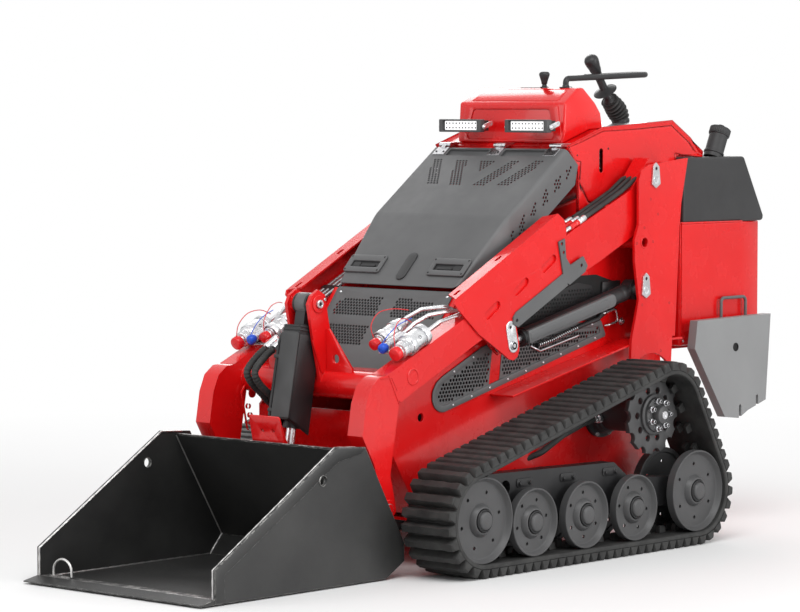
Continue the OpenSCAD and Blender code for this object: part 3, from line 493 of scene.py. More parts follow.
class Form:
    """A mesh under construction, in millimetres from the middle of the tracks, on the ground."""

    def __init__(self):
        self.verts, self.faces, self.looks, self.finishes = [], [], [], []

    def take(self, bm, place, look, merge=True):
        """Adds a mesh that was drawn in a place's axes."""
        if merge:
            bmesh.ops.remove_doubles(bm, verts=bm.verts, dist=0.002)
        bmesh.ops.recalc_face_normals(bm, faces=bm.faces)
        if look not in self.finishes:
            self.finishes.append(look)
        base = len(self.verts)
        bm.verts.index_update()
        self.verts += [place @ v.co for v in bm.verts]
        self.faces += [[base + v.index for v in f.verts] for f in bm.faces]
        self.looks += [self.finishes.index(look)] * len(bm.faces)
        bm.free()
        return self

    def slab(self, outline, place, t0, t1, look, holes=(), bevel=0.0):
        """A plate with holes, its edges rounded off by bevel."""
        bm = bmesh.new()
        b = min(bevel, abs(t1 - t0) * 0.45)
        levels = [(0, t0), (0, t1)]
        if b:
            levels = [(b, t0), (0.3 * b, t0 + 0.3 * b), (0, t0 + b), (0, t1 - b),
                      (0.3 * b, t1 - 0.3 * b), (b, t1)]
        for ring, sign in [(outline, 1)] + [(h, -1) for h in holes]:
            rows = [[bm.verts.new((p[0], p[1], w)) for p in inset(ring, sign * o)] for o, w in levels]
            for lower, upper in zip(rows, rows[1:]):
                for i in range(len(ring)):
                    j = (i + 1) % len(ring)
                    bm.faces.new((lower[i], lower[j], upper[j], upper[i]))
        points, faces = filled(inset(outline, b), [inset(h, -b) for h in holes])
        for w in (t0, t1):
            cap = [bm.verts.new((p.x, p.y, w)) for p in points]
            for f in faces:
                bm.faces.new([cap[i] for i in f])
        return self.take(bm, place, look)

    def block(self, outline, place, t0, t1, look, bevel, segments=2):
        """A solid with its sharp edges rounded."""
        bm = bmesh.new()
        low = [bm.verts.new((p[0], p[1], t0)) for p in outline]
        high = [bm.verts.new((p[0], p[1], t1)) for p in outline]
        bm.faces.new(low[::-1])
        bm.faces.new(high)
        for i in range(len(low)):
            j = (i + 1) % len(low)
            bm.faces.new((low[i], low[j], high[j], high[i]))
        return self.ease(bm, place, look, bevel, segments)

    def solid(self, corners, faces, look, bevel, segments):
        """A solid from its corners and faces, its sharp edges rounded."""
        bm = bmesh.new()
        verts = [bm.verts.new(c) for c in corners]
        for f in faces:
            bm.faces.new([verts[i] for i in f])
        return self.ease(bm, Matrix.Identity(4), look, bevel, segments)

    def ease(self, bm, place, look, bevel, segments):
        """Rounds a mesh's sharp edges and adds it."""
        bmesh.ops.recalc_face_normals(bm, faces=bm.faces)
        sharp = [e for e in bm.edges if len(e.link_faces) == 2 and e.calc_face_angle(0) > 0.45]
        bmesh.ops.bevel(bm, geom=sharp, offset=bevel, offset_type="OFFSET", segments=segments, profile=0.5,
                        affect="EDGES", clamp_overlap=True)
        return self.take(bm, place, look)

    def turned(self, profile, place, look, n):
        """A solid of revolution from its half section [r, w]."""
        bm = bmesh.new()
        rows = []
        for r, w in profile:
            if r < 1e-6:
                rows.append([bm.verts.new((0, 0, w))] * n)
            else:
                turns = [math.tau * k / n for k in range(n)]
                rows.append([bm.verts.new((r * math.cos(a), r * math.sin(a), w)) for a in turns])
        for a, b in zip(rows, rows[1:]):
            for k in range(n):
                corners = list(dict.fromkeys((a[k], a[(k + 1) % n], b[(k + 1) % n], b[k])))
                if len(corners) > 2:
                    bm.faces.new(corners)
        return self.take(bm, place, look, merge=False)

    def rod(self, place, r, t0, t1, look, n):
        """A plain round bar from t0 to t1."""
        return self.turned(rectangle(0, t0, r, t1), place, look, n)

    def nut(self, place, r, t0, t1, look, bevel=1.0, start=0.0):
        """A hexagon of radius r from t0 to t1."""
        return self.block(circle((0, 0), r, 6, start), place, t0, t1, look, bevel, 1)

    def tube(self, path, r, look, n):
        """A round bar along a path; r is a radius or a function of the distance along it."""
        path = [Vector(p) for p in path]
        bm = bmesh.new()
        up, rows, gone = (path[1] - path[0]).normalized().orthogonal(), [], 0.0
        for i, p in enumerate(path):
            ahead = (path[min(i + 1, len(path) - 1)] - path[max(i - 1, 0)]).normalized()
            up = (up - ahead * up.dot(ahead)).normalized()
            across = ahead.cross(up)
            if i:
                gone += (p - path[i - 1]).length
            size = r(gone) if callable(r) else r
            turns = [math.tau * k / n for k in range(n)]
            rows.append([bm.verts.new(p + (up * math.cos(a) + across * math.sin(a)) * size) for a in turns])
        for a, b in zip(rows, rows[1:]):
            for k in range(n):
                bm.faces.new((a[k], a[(k + 1) % n], b[(k + 1) % n], b[k]))
        bm.faces.new(rows[0][::-1])
        bm.faces.new(rows[-1])
        return self.take(bm, Matrix.Identity(4), look, merge=False)

    def bolt(self, place, look, r, h):
        """A hexagon head on a washer."""
        self.turned([(0, 0), (r * 1.35, 0), (r * 1.35, 1.2), (r * 1.25, 1.6), (0, 1.6)], place, look, 16)
        return self.nut(place, r, 1.4, h, look, min(0.8, r * 0.12))

    def screw(self, place, look, r, h):
        """A domed head with a socket."""
        profile = [(0, 0.35), (0.42, 0.35), (0.46, 0.95), (0.75, 0.8), (1, 0.25), (1, 0), (0, 0)]
        return self.turned([(r * a, h * w) for a, w in profile], place, look, 14)

    def mirrored(self):
        """Adds the other side's copy."""
        base = len(self.verts)
        self.verts += [Vector((-v.x, v.y, v.z)) for v in self.verts]
        self.faces += [[base + i for i in reversed(f)] for f in self.faces]
        self.looks += self.looks
        return self

    def piece(self, name, body, slot, *nodes, angle=34.0):
        """Makes the object: the body it rides on and the frame's nodes that it stands in for; its slot argument is
        not used.
        """
        mesh = bpy.data.meshes.new(name)
        mesh.from_pydata([(v.x * MM, v.y * MM + MID_Y, v.z * MM) for v in self.verts], [], self.faces)
        for look in self.finishes:
            mesh.materials.append(finish_for(look))
        mesh.polygons.foreach_set("material_index", self.looks)
        mesh.polygons.foreach_set("use_smooth", [True] * len(self.faces))
        mesh.set_sharp_from_angle(angle=math.radians(angle))
        obj = bpy.data.objects.new(name, mesh)
        bpy.context.scene.collection.objects.link(obj)
        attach(obj, body)
        if nodes:
            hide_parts(*nodes)
        return obj


# ---------------------------------------------------------------- running gear

class LOADER_PG_tracks(bpy.types.PropertyGroup):
    lug_spacing: FloatProperty(name="Lug spacing", description="Distance between lugs along the belt",
                               default=0.036, unit="LENGTH")
    belt: FloatProperty(name="Belt", description="Thickness of the belt", default=0.014, unit="LENGTH")
    lug: FloatProperty(name="Lug height", description="Height of the lugs above the belt",
                       default=0.024, unit="LENGTH")


BELT_STEPS = 300      # points along the belt
GUIDE_X = 16.0        # of the guides from the belt's middle
# Half of a lug, from its end to its middle: share of its length, half width at the root and at the tip, and
# share of its height
LUG_HALF = ((0.0, 15.5, 8.0, 0.78), (0.022, 17.0, 10.5, 0.97), (0.12, 17.0, 11.3, 1.0), (0.2, 15.6, 9.2, 1.0),
            (0.28, 15.6, 9.2, 1.0), (0.36, 17.0, 10.8, 1.0))
# Sections of an inner guide: place across, half length, height
GUIDE_SECTIONS = ((-8, 13, 2), (-8, 15, -1.5), (-6.5, 11.5, 19), (-4.5, 10, 21.5), (4.5, 10, 21.5),
                  (6.5, 11.5, 19), (8, 15, -1.5), (8, 13, 2))
SPROCKET_R, SPROCKET_TEETH = 116.0, 11
GULLET_R, GULLET_TURN = 18.0, 1.36          # radius of a gullet, and how far it goes round to each side
TIP_SHARE = 0.12                            # half width of a tooth's tip, as a share of the pitch
STUD_RING, STUDS = 41.0, 7
FLANGE_RING, FLANGE_BOLTS = 73.0, 8
# Bolted caps and tensioner collars: places along a track beam, and height
PADS, PAD_Z = (-250, -60, 130), 240
COLLARS, COLLAR_Z = (-151, 75), 215
COLLAR_IN = 49.5                            # of the collars from the beam's outer face


class Loop:
    """The closed line that a track follows round its idlers and its sprocket."""

    def __init__(self, belt):
        low, high = reach("idlers")
        self.wheel = (high.z - low.z) / 2
        motor = sum(reach("drive_motors"), Vector()) / 2
        axle, base = (low.z + high.z) / 2, (high.y - low.y) / 2 - self.wheel
        self.wheel += 0.3
        self.centres = [Vector((-base, axle)), Vector((motor.y, motor.z)), Vector((base, axle))]
        self.pitch_r = self.wheel + belt / 2
        self.runs = []
        for i in range(3):
            a, b = self.centres[i], self.centres[(i + 1) % 3]
            self.runs.append((a, b, (b - a).length, math.atan2(b.y - a.y, b.x - a.x)))
        self.length = sum(run[2] for run in self.runs) + math.tau * self.pitch_r

    def at(self, s):
        """Wheel centre or point of a straight run that lies s along the loop, with its outward direction."""
        s %= self.length
        for i, (a, b, length, heading) in enumerate(self.runs):
            if s < length:
                return a.lerp(b, s / length), heading + math.pi / 2
            s -= length
            turn = (heading - self.runs[(i + 1) % 3][3]) % math.tau
            if s < turn * self.pitch_r:
                return b, heading + math.pi / 2 - s / self.pitch_r
            s -= turn * self.pitch_r
        return self.runs[0][0], self.runs[0][3] + math.pi / 2

    def point(self, s, r, w=0.0):
        """Point r out from the wheels' centres, w further along."""
        p, out = self.at(s)
        return p + polar(r, out) + polar(w, out - math.pi / 2)


class LOADER_OT_tracks(bpy.types.Operator):
    """Makes the two rubber tracks with their shaped lugs and inner guides"""
    bl_idname = "loader.tracks"
    bl_label = "Tracks"

    def execute(self, context):
        sizes = context.scene.loader_tracks
        belt, lug = sizes.belt / MM, sizes.lug / MM
        loop = Loop(belt)
        low, high = reach("track_left")
        inner, outer = low.x, high.x
        top = loop.wheel + belt
        form = Form()
        ring = [(inner + 3, 0), (outer - 3, 0), (outer, 3), (outer, belt - 3), (outer - 3, belt),
                (inner + 3, belt), (inner, belt - 3), (inner, 3)]
        self.swept(form, loop, [loop.length * k / BELT_STEPS for k in range(BELT_STEPS)], ring, loop.wheel)
        count = round(loop.length / (sizes.lug_spacing / MM) / 2) * 2
        pitch = loop.length / count
        for k in range(count):
            self.lug(form, loop, k * pitch, top, lug, inner, outer)
        middle = (inner + outer) / 2
        for k in range(0, count, 2):
            for x in (middle - GUIDE_X, middle + GUIDE_X):
                self.guide(form, loop, k * pitch, x)
        form.piece("track_belt_left", "root", "rubber", "track_left", angle=38)
        form.mirrored()
        half = len(form.verts) // 2
        right = Form()
        right.verts, right.finishes = form.verts[half:], form.finishes
        right.faces = [[i - half for i in f] for f in form.faces[len(form.faces) // 2:]]
        right.looks = form.looks[:len(right.faces)]
        right.piece("track_belt_right", "root", "rubber", "track_right", angle=38)
        return {"FINISHED"}

    def swept(self, form, loop, stations, ring, r):
        """The belt: a ring of points [x, height] carried round the loop."""
        bm = bmesh.new()
        rows = []
        for s in stations:
            rows.append([bm.verts.new((x, *loop.point(s, r + h))) for x, h in ring])
        for a, b in around(rows):
            for k in range(len(ring)):
                j = (k + 1) % len(ring)
                bm.faces.new((a[k], a[j], b[j], b[k]))
        form.take(bm, Matrix.Identity(4), "rubber", merge=False)

    def lug(self, form, loop, s, top, height, inner, outer):
        """One lug: flared ends with cut corners, a slimmer middle, a rounded crown."""
        w = outer - inner
        bm = bmesh.new()
        rows = []
        for x, root, tip, share in LUG_HALF + tuple((1 - x, *rest) for x, *rest in reversed(LUG_HALF)):
            h = height * share
            outline = ((-root, -1.0), (-tip - 0.8, h - 2.2), (-tip + 1.4, h), (tip - 1.4, h),
                       (tip + 0.8, h - 2.2), (root, -1.0))
            rows.append([bm.verts.new((inner + x * w, *loop.point(s, top + up, along)))
                         for along, up in outline])
        for a, b in zip(rows, rows[1:]):
            for k in range(5):
                bm.faces.new((a[k], a[k + 1], b[k + 1], b[k]))
        bm.faces.new(rows[0])
        bm.faces.new(rows[-1])
        form.take(bm, Matrix.Identity(4), "rubber", merge=False)

    def guide(self, form, loop, s, x):
        """One inner guide, tapered inward."""
        bm = bmesh.new()
        rows = []
        for out, half, reach_in in GUIDE_SECTIONS:
            rows.append([bm.verts.new((x + out, *loop.point(s, loop.wheel - reach_in, along)))
                         for along in (-half, half)])
        for a, b in zip(rows, rows[1:]):
            bm.faces.new((a[0], a[1], b[1], b[0]))
        for k in (0, 1):
            bm.faces.new([row[k] for row in rows])
        form.take(bm, Matrix.Identity(4), "rubber", merge=False)


def wheel_disc(form, place, r, inner, outer):
    """A dished wheel disc with a thin rim, a deep step, six holes and a domed hub cap."""
    deep, hub = outer - 15, 34.0
    form.turned([(r - 13, inner), (r - 1.5, inner), (r, inner + 1.5), (r, outer - 1.5), (r - 1.5, outer),
                 (r - 4.5, outer), (r - 5.5, outer - 1), (r - 11, deep + 3), (r - 13.5, deep + 0.5),
                 (r - 15, deep), (r - 15, inner + 2), (r - 13, inner)], place, "wheel_grey", 64)
    holes = [circle(p, 5.2, 12) for p in ring_of(6, 0.66 * r)]
    form.slab(circle((0, 0), r - 14.5, 64), place, deep - 5, deep, "wheel_grey", holes)
    form.turned([(hub + 13, deep - 1), (hub + 12, deep + 3), (hub + 6, deep + 10), (hub + 4, outer - 1.5),
                 (hub + 2, outer - 0.5), (hub, outer - 0.5), (hub - 1, outer - 2), (hub - 2, deep),
                 (0, deep)], place, "wheel_grey", 48)
    form.turned([(hub - 2, outer - 4), (hub - 2.5, outer + 2), (hub - 4, outer + 3.5), (hub - 6, outer + 3.5),
                 (hub - 7, outer + 1), (0, outer + 1)], place, "black_paint", 48)
    form.turned([(hub - 8, outer), (hub - 8.5, outer + 5), (hub - 10.5, outer + 8), (hub - 15, outer + 9.4),
                 (8, outer + 10), (0, outer + 10)], place, "wheel_grey", 48)
    form.turned([(7, outer + 9), (6.5, outer + 9.9), (3.2, outer + 9.9), (3, outer + 9.2), (0, outer + 9.2)],
                place, "steel", 16)


class LOADER_OT_wheels(bpy.types.Operator):
    """Makes the idlers and the road rollers as dished twin discs on their axles"""
    bl_idname = "loader.wheels"
    bl_label = "Idlers and rollers"

    def execute(self, context):
        low, high = reach("track_left")
        middle = (low.x + high.x) / 2
        for node, name, count in (("idlers", "idler_wheels", 2), ("rollers", "road_rollers", 3)):
            form = Form()
            a, b = reach(node)
            r = (b.z - a.z) / 2
            outer = (high.x - low.x) / 2 - 12
            first, last = a.y + r, b.y - r
            for k in range(count):
                y = first + (last - first) * k / (count - 1)
                centre = (middle, y, a.z + r)
                for sign in (1, -1):
                    place = beside(centre, sign) @ Matrix.Rotation(0.35 * k + 0.2, 4, "Z")
                    wheel_disc(form, place, r, outer - 26, outer)
                    form.turned([(34, outer - 22), (32, outer - 27), (32, 34), (34, 30), (34, 28), (0, 28)],
                                place, "wheel_grey", 40)
                    form.turned([(36, 33), (36.5, 36), (36, 39), (32, 39)], place, "black_paint", 40)
                form.rod(beside(centre), 15, -30, 30, "steel", 24)
            form.mirrored().piece(name, "root", "grey_paint", node, angle=40)
        return {"FINISHED"}


class LOADER_OT_sprockets(bpy.types.Operator):
    """Makes the drive sprockets with their hubs and studs"""
    bl_idname = "loader.sprockets"
    bl_label = "Drive sprockets"

    def execute(self, context):
        form = Form()
        a, b = reach("drive_motors")
        low, high = reach("track_left")
        centre = Vector(((low.x + high.x) / 2, (a.y + b.y) / 2, (a.z + b.z) / 2))
        place = beside(centre)
        holes = [circle(p, 10, 20) for p in ring_of(10, 72)]
        form.slab(self.rim(SPROCKET_R, SPROCKET_TEETH), place, -8, 8, "wheel_grey", holes, bevel=1.6)
        form.turned([(60, 7), (60, 16), (58, 18), (52, 19), (50, 26), (48, 27), (0, 27)], place,
                    "wheel_grey", 56)
        form.turned([(27, 26), (27, 44), (25, 48), (18, 50), (14, 52), (0, 52)], place, "wheel_grey", 40)
        form.turned([(12, 51), (11.5, 53.5), (6, 53.5), (5.5, 52.2), (0, 52.2)], place, "steel", 20)
        for p in ring_of(STUDS, STUD_RING):
            stud = moved(place, *p, 0)
            form.turned([(9.5, 26), (9.5, 30), (8.6, 31), (6.6, 31), (6.6, 43.5), (5.6, 45.5), (0, 45.5)],
                        stud, "steel", 16)
            form.nut(stud, 10.2, 27, 36, "steel", 0.8)
            form.turned([(4.2, 45), (4, 46), (0, 46)], stud, "black_paint", 12)
        form.turned([(0, -9), (30, -9), (34, -12), (34, -20), (0, -20)], place, "iron", 32)
        form.mirrored().piece("sprocket_wheels", "root", "grey_paint", "sprockets", angle=36)
        self.motors(centre)
        return {"FINISHED"}

    def rim(self, r, teeth):
        """Outline of the toothed plate: wide teeth between round gullets."""
        outline = []
        for k in range(teeth):
            gullet = math.tau * (k + 0.5) / teeth
            arc = [gullet + math.pi + GULLET_TURN * (1 - j / 4) for j in range(9)]
            outline += [polar(r + 4, gullet) + polar(GULLET_R, turn) for turn in arc]
            outline += [polar(r, math.tau * (k + 1 + f) / teeth) for f in (-TIP_SHARE, TIP_SHARE)]
        return outline

    def motors(self, centre):
        """Final drives: a flange on the chassis, a stepped housing, ports and two hoses."""
        form = Form()
        wall = reach("chassis")[1].x
        place = beside((0, centre.y, centre.z))
        foot = ((0, 0), (80, 0), (80, 10), (78.5, 12), (70, 12), (68, 14), (66, 30), (62, 34),
                (62, 40), (56, 44))
        nose = ((56, 40), (58, 38), (58, 24), (54, 20), (44, 18), (0, 18))
        form.turned([(r, wall + w) for r, w in foot] + [(r, centre.x - w) for r, w in nose],
                    place, "iron", 48)
        for p in ring_of(FLANGE_BOLTS, FLANGE_RING, math.pi / FLANGE_BOLTS):
            form.bolt(moved(place, *p, wall + 12), "steel", 5.5, 5)
        for y, z, bend in ((-26, 22, 1), (-30, -18, -1)):
            port = Vector((wall + 48, centre.y + y - 30, centre.z + z))
            form.turned([(0, 0), (13, 0), (13, 12), (10, 13), (10, 22), (0, 22)],
                        pointing(port, (0, -1, 0)), "steel", 20)
            form.nut(pointing(port - Vector((0, 16, 0)), (0, -1, 0)), 12, 0, 12, "steel", 0.8)
            path = [port + Vector(p) for p in ((0, -20, 0), (-2, -60, 6 * bend), (-14, -150, -30 + 8 * bend),
                                               (-30, -230, -78 + 6 * bend), (-56, -270, -96 + 6 * bend))]
            form.tube(rounded(path, 60, 6, closed=False), 9, "rubber", 12)
        form.mirrored().piece("final_drives", "root", "iron", "drive_motors", angle=36)


class LOADER_OT_beams(bpy.types.Operator):
    """Adds the bolted caps and the tensioners' collars of the track beams"""
    bl_idname = "loader.beams"
    bl_label = "Track beams"

    def execute(self, context):
        form = Form()
        face = reach("track_beams")[1].x
        for y in PADS:
            at = beside((face, y, PAD_Z))
            form.slab(rectangle(-34, -12, 34, 12, 8, 4), at, 0, 3, "black_paint", bevel=1)
            for u in (-22, 22):
                form.bolt(moved(at, u, 0, 3), "black_paint", 6, 5)
        for y in COLLARS:
            collar = basis((face - COLLAR_IN, y, COLLAR_Z), (0, 1, 0), (0, 0, 1), (-1, 0, 0))
            form.turned([(28, 0), (34, 0), (33, 4), (29, 7), (28, 7)], collar, "black_paint", 28)
        form.mirrored().piece("beam_fittings", "root", "black_paint", angle=36)
        return {"FINISHED"}


# ---------------------------------------------------------------- hood, nose and grilles

HOOD_LOW, HOOD_CREASE, HOOD_TOP = (-272.0, 774.0), (-81.0, 969.0), (182.0, 1161.0)
NOSE_LOW, NOSE_HIGH = (-490.0, 470.0), (-268.0, 760.0)
# Windows that are filled with punched holes: in the hood's top and side, and in the nose panel
TOP_WINDOWS = ([(0, 193), (46, 273), (-46, 273)], [(16, 144), (74, 144), (136, 273), (82, 273)],
               [(107, 147), (165, 147), (226, 273), (176, 273)])
SIDE_WINDOWS = ([(179, 1061), (211, 1094), (210, 1125), (179, 1100)],
                [(125, 1024), (161, 1052), (161, 1097), (125, 1072)],
                [(73, 986), (104, 1007), (108, 1063), (73, 1040)],
                [(19, 959), (51, 964), (55, 1021), (21, 1003)], [(-31, 905), (1, 925), (1, 982), (-31, 963)],
                [(-68, 880), (-46, 895), (-46, 944), (-68, 924)])
NOSE_WINDOWS = ([(24, 268), (200, 268), (200, 323), (24, 342)],
                [(24, 168), (150, 168), (190, 237), (24, 237)])
NOSE_SCREWS = [(x, s) for x in (-206, 206) for s in (18, 180, 348)]
GRILLE = [Vector(p) for p in ((-396, 490), (-398, 465), (-388, 445), (-371, 433), (-350, 429), (374, 607),
                              (350, 655), (-25, 644), (-186, 604), (-352, 532), (-380, 515))]
GRILLE_BENDS = (30, 30, 30, 30, 40, 8, 8, 60, 60, 40, 30)
OPENING_BENDS = (20, 20, 20, 20, 30, 4, 4, 40, 40, 30, 20)
# The bar between the grille's meshes: two points of each of its edges, and the side that stays open
GRILLE_BARS = (((-170, 400), (-128, 700), -1), ((-120, 400), (-78, 700), 1))


def twice(outlines):
    """The outlines and their mirror images, each counter-clockwise."""
    return [list(o) for o in outlines] + [[(-x, y) for x, y in reversed(o)] for o in outlines]


class LOADER_PG_hood(bpy.types.PropertyGroup):
    sheet: FloatProperty(name="Sheet", description="Thickness of the hood's sheet",
                         default=0.003, unit="LENGTH")
    crease: FloatProperty(name="Bend", description="Radius of the hood's bends", default=0.011, unit="LENGTH")
    hole: FloatProperty(name="Hole", description="Diameter of the punched holes",
                        default=0.0086, unit="LENGTH")
    spacing: FloatProperty(name="Hole spacing", description="Distance between punched holes",
                           default=0.0118, unit="LENGTH")


def skin(form, corners, faces, look, bend, thick, punched):
    """A folded sheet: its bends rounded, holes punched in some faces, then given its thickness.

    punched maps a face's number to (place, holes), the holes drawn in that place's first two axes.
    """
    bm = bmesh.new()
    verts = [bm.verts.new(c) for c in corners]
    tag = bm.faces.layers.int.new("panel")
    for k, f in enumerate(faces):
        bm.faces.new([verts[i] for i in f])[tag] = k + 1
    normals = [f.normal.copy() for f in bm.faces if not f.normal_update()]
    folds = [e for e in bm.edges if len(e.link_faces) == 2 and e.calc_face_angle(0) > 0.1]
    bmesh.ops.bevel(bm, geom=folds, offset=bend, offset_type="OFFSET", segments=4, profile=0.5,
                    affect="EDGES", clamp_overlap=True)
    for k, (place, holes) in punched.items():
        flat = max((f for f in bm.faces if f[tag] == k + 1 and f.normal.dot(normals[k]) > 0.999),
                   key=lambda f: f.calc_area())
        back = place.inverted()
        outline = [(back @ v.co) for v in flat.verts]
        outline = [Vector((p.x, p.y)) for p in outline]
        if sum(a.x * b.y - b.x * a.y for a, b in around(outline)) < 0:
            outline.reverse()
        level = (back @ flat.verts[0].co).z
        points, fills = filled(outline, holes)
        bm.faces.remove(flat)
        new = [bm.verts.new(place @ Vector((p.x, p.y, level))) for p in points]
        for f in fills:
            bm.faces.new([new[i] for i in f])
    bmesh.ops.remove_doubles(bm, verts=bm.verts, dist=0.01)
    bmesh.ops.recalc_face_normals(bm, faces=bm.faces)
    if bm.faces and sum(f.normal.z * f.calc_area() for f in bm.faces) < 0:
        bmesh.ops.reverse_faces(bm, faces=bm.faces)
    bm.normal_update()
    bmesh.ops.solidify(bm, geom=bm.faces[:], thickness=thick)
    # solidify leaves them in another order at each run
    for parts, where in ((bm.verts, lambda v: v.co[:]), (bm.faces, lambda f: f.calc_center_median()[:])):
        rank = {part: k for k, part in enumerate(sorted(parts, key=where))}
        parts.sort(key=rank.get)
    return form.take(bm, Matrix.Identity(4), look, merge=False)


class LOADER_OT_hood(bpy.types.Operator):
    """Makes the folded hood with its punched vents, its recesses, latches, centre pad and hinge screws"""
    bl_idname = "loader.hood"
    bl_label = "Hood"

    def execute(self, context):
        sizes = context.scene.loader_hood
        r, pitch = sizes.hole / MM / 2, sizes.spacing / MM
        form = Form()
        w = reach("hood")[1].x
        corners = []
        for s in (1, -1):
            corners += [(s * w, *HOOD_CREASE), (s * w, *HOOD_TOP), (s * w, 236, 1114), (s * w, 222, 1056),
                        (s * w, 64, 944), (s * w, -81, 861.3), (s * 252.5, -113, 843), (s * 225.4, *HOOD_LOW)]
        faces = [(8, 0, 1, 9), (15, 7, 0, 8), (0, 5, 4, 3, 2, 1), (8, 9, 10, 11, 12, 13), (7, 6, 5, 0),
                 (8, 13, 14, 15)]
        top = slope(HOOD_CREASE, HOOD_TOP)
        vents = punched_in(twice(TOP_WINDOWS[1:]) + [TOP_WINDOWS[0]], pitch, r)
        recesses = [rectangle(30, 287, 185, 318, 5), rectangle(-185, 287, -30, 318, 5)]
        flank = punched_in(SIDE_WINDOWS, pitch, r)
        punched = {0: (top, vents + recesses), 2: (side(), flank), 3: (side(), flank)}
        skin(form, corners, faces, "grey_paint", sizes.crease / MM, sizes.sheet / MM, punched)
        for tray in recesses:
            ring = inset(tray, -1.2)
            form.slab(ring, top, -9.6, -8.4, "grey_paint")
            form.slab(ring, top, -8.6, -1.2, "grey_paint", [tray])
        form.piece("hood_shell", "hood", "grey_paint", "hood", "hood_screens", angle=30)
        self.latches()
        self.hinges()
        return {"FINISHED"}

    def latches(self):
        """Framed latches low on the hood, and the pad between them."""
        low = slope(HOOD_LOW, HOOD_CREASE)
        form = Form()
        outer = rectangle(92, 40, 232, 106, 9, 5)
        opening = rectangle(107, 60, 213, 83, 3)
        form.slab(outer, low, 0.3, 7, "grey_paint", [opening], bevel=3.2)
        form.slab(inset(opening, -2), low, 0.3, 1.2, "black_paint")
        form.slab(rectangle(120, 63, 176, 72, 3), low, 1.2, 4.6, "black_paint", bevel=1)
        form.slab(rectangle(181, 62, 209, 81, 3), low, 1.2, 3.4, "plastic", bevel=1)
        for x, s in ((99, 48), (225, 48), (99, 98), (225, 98)):
            form.screw(moved(low, x, s, 6.8), "black_paint", 3.4, 1.6)
        form.mirrored()
        form.slab(capsule((0, 37), (0, 107), 17, 12), low, 0.3, 5.2, "dark_grey_paint", bevel=3.2)
        form.piece("hood_latch_frames", "hood", "grey_paint", "hood_latches", angle=40)

    def hinges(self):
        """Screws of the hood's hinges, on the hood and on the body."""
        leaf, plate = Form(), Form()
        top = slope(HOOD_CREASE, HOOD_TOP)
        for x in (-215, 0, 215):
            for u in (-14, 14):
                leaf.screw(moved(top, x + u, 303, 2.6), "black_paint", 3.6, 1.8)
                plate.screw(pointing((x + u, 221, 1175.2), (0, -0.31, 0.95)), "black_paint", 3.4, 1.8)
        leaf.piece("hinge_screws_hood", "hood", "steel")
        plate.piece("hinge_screws_body", "root", "steel")


class LOADER_PG_grilles(bpy.types.PropertyGroup):
    hole: FloatProperty(name="Hole", description="Diameter of the holes of the side grilles",
                        default=0.0092, unit="LENGTH")
    spacing: FloatProperty(name="Hole spacing", description="Distance between the holes of the side grilles",
                           default=0.0124, unit="LENGTH")
    nose_hole: FloatProperty(name="Nose hole", description="Diameter of the nose panel's holes",
                             default=0.0082, unit="LENGTH")
    nose_spacing: FloatProperty(name="Nose hole spacing",
                                description="Distance between the nose panel's holes",
                                default=0.0112, unit="LENGTH")


class LOADER_OT_grilles(bpy.types.Operator):
    """Makes the perforated nose panel and the two framed side grilles"""
    bl_idname = "loader.grilles"
    bl_label = "Grilles"

    def execute(self, context):
        sizes = context.scene.loader_grilles
        self.nose(sizes.nose_hole / MM / 2, sizes.nose_spacing / MM)
        self.sides(sizes.hole / MM / 2, sizes.spacing / MM)
        return {"FINISHED"}

    def nose(self, r, pitch):
        """The nose panel with its punched windows and screws, and painted shadow behind its holes and in the gap
        under the hood.
        """
        form = Form()
        place = slope(NOSE_LOW, NOSE_HIGH)
        length = (Vector(NOSE_HIGH) - Vector(NOSE_LOW)).length
        w = reach("nose_grille")[1].x
        holes = punched_in(twice(NOSE_WINDOWS), pitch, r) + [circle(p, 4.6, 12) for p in NOSE_SCREWS]
        form.slab(rectangle(-w, 0, w, length, 7), place, 0, 5.6, "grey_paint", holes, bevel=1.6)
        # Painted shadow: a near-black sheet behind the holes, and a strip in the gap under the hood's low edge.
        form.slab(rectangle(-w + 12, 8, w - 12, length - 8), place, -2.0, -1.2, "shadow")
        form.slab(rectangle(-w + 6, length - 10, w - 6, length + 9), place, -9.0, -8.0, "shadow")
        for p in NOSE_SCREWS:
            form.screw(moved(place, *p, 3.4), "steel", 4.4, 2.6)
        form.piece("nose_panel", "root", "grey_paint", "nose_grille", angle=36)

    def sides(self, r, pitch):
        """The side grilles: a frame, two meshes and screws."""
        form = Form()
        high = reach("side_grilles")[1]
        inner = inset(GRILLE, 18)
        x0, x1 = high.x - 4.7, high.x
        form.slab(rounded(GRILLE, GRILLE_BENDS, 4), side(), x0, x1, "grey_paint",
                  [rounded(inner, OPENING_BENDS, 4)], bevel=1.6)
        for bar in GRILLE_BARS:
            part = self.cut(inner, *bar)
            form.slab(inset(part, -3), side(), x0 + 0.1, x0 + 1.4, "grey_paint", holes_in(part, pitch, r))
        ring = inset(GRILLE, 9)
        for a, b in around(ring):
            span = (b - a).length
            count = int(span // 90) + 1 if span > 60 else 0
            for k in range(count):
                p = a.lerp(b, (k + 0.5) / count)
                form.screw(beside((x1 - 0.2, p.x, p.y)), "steel", 3.6, 2.2)
        form.mirrored().piece("side_grille_frames", "root", "grey_paint", "side_grilles", angle=36)

    def cut(self, outline, a, b, keep):
        """The part of an outline on one side of the line from a to b."""
        a, b = Vector(a), Vector(b)
        out = []
        for p, q in around(outline):
            u, v = -keep * (b - a).cross(p - a), -keep * (b - a).cross(q - a)
            if u >= 0:
                out.append(p)
            if u * v < 0:
                out.append(p + (q - p) * u / (u - v))
        return out


# ---------------------------------------------------------------- body, console and controls

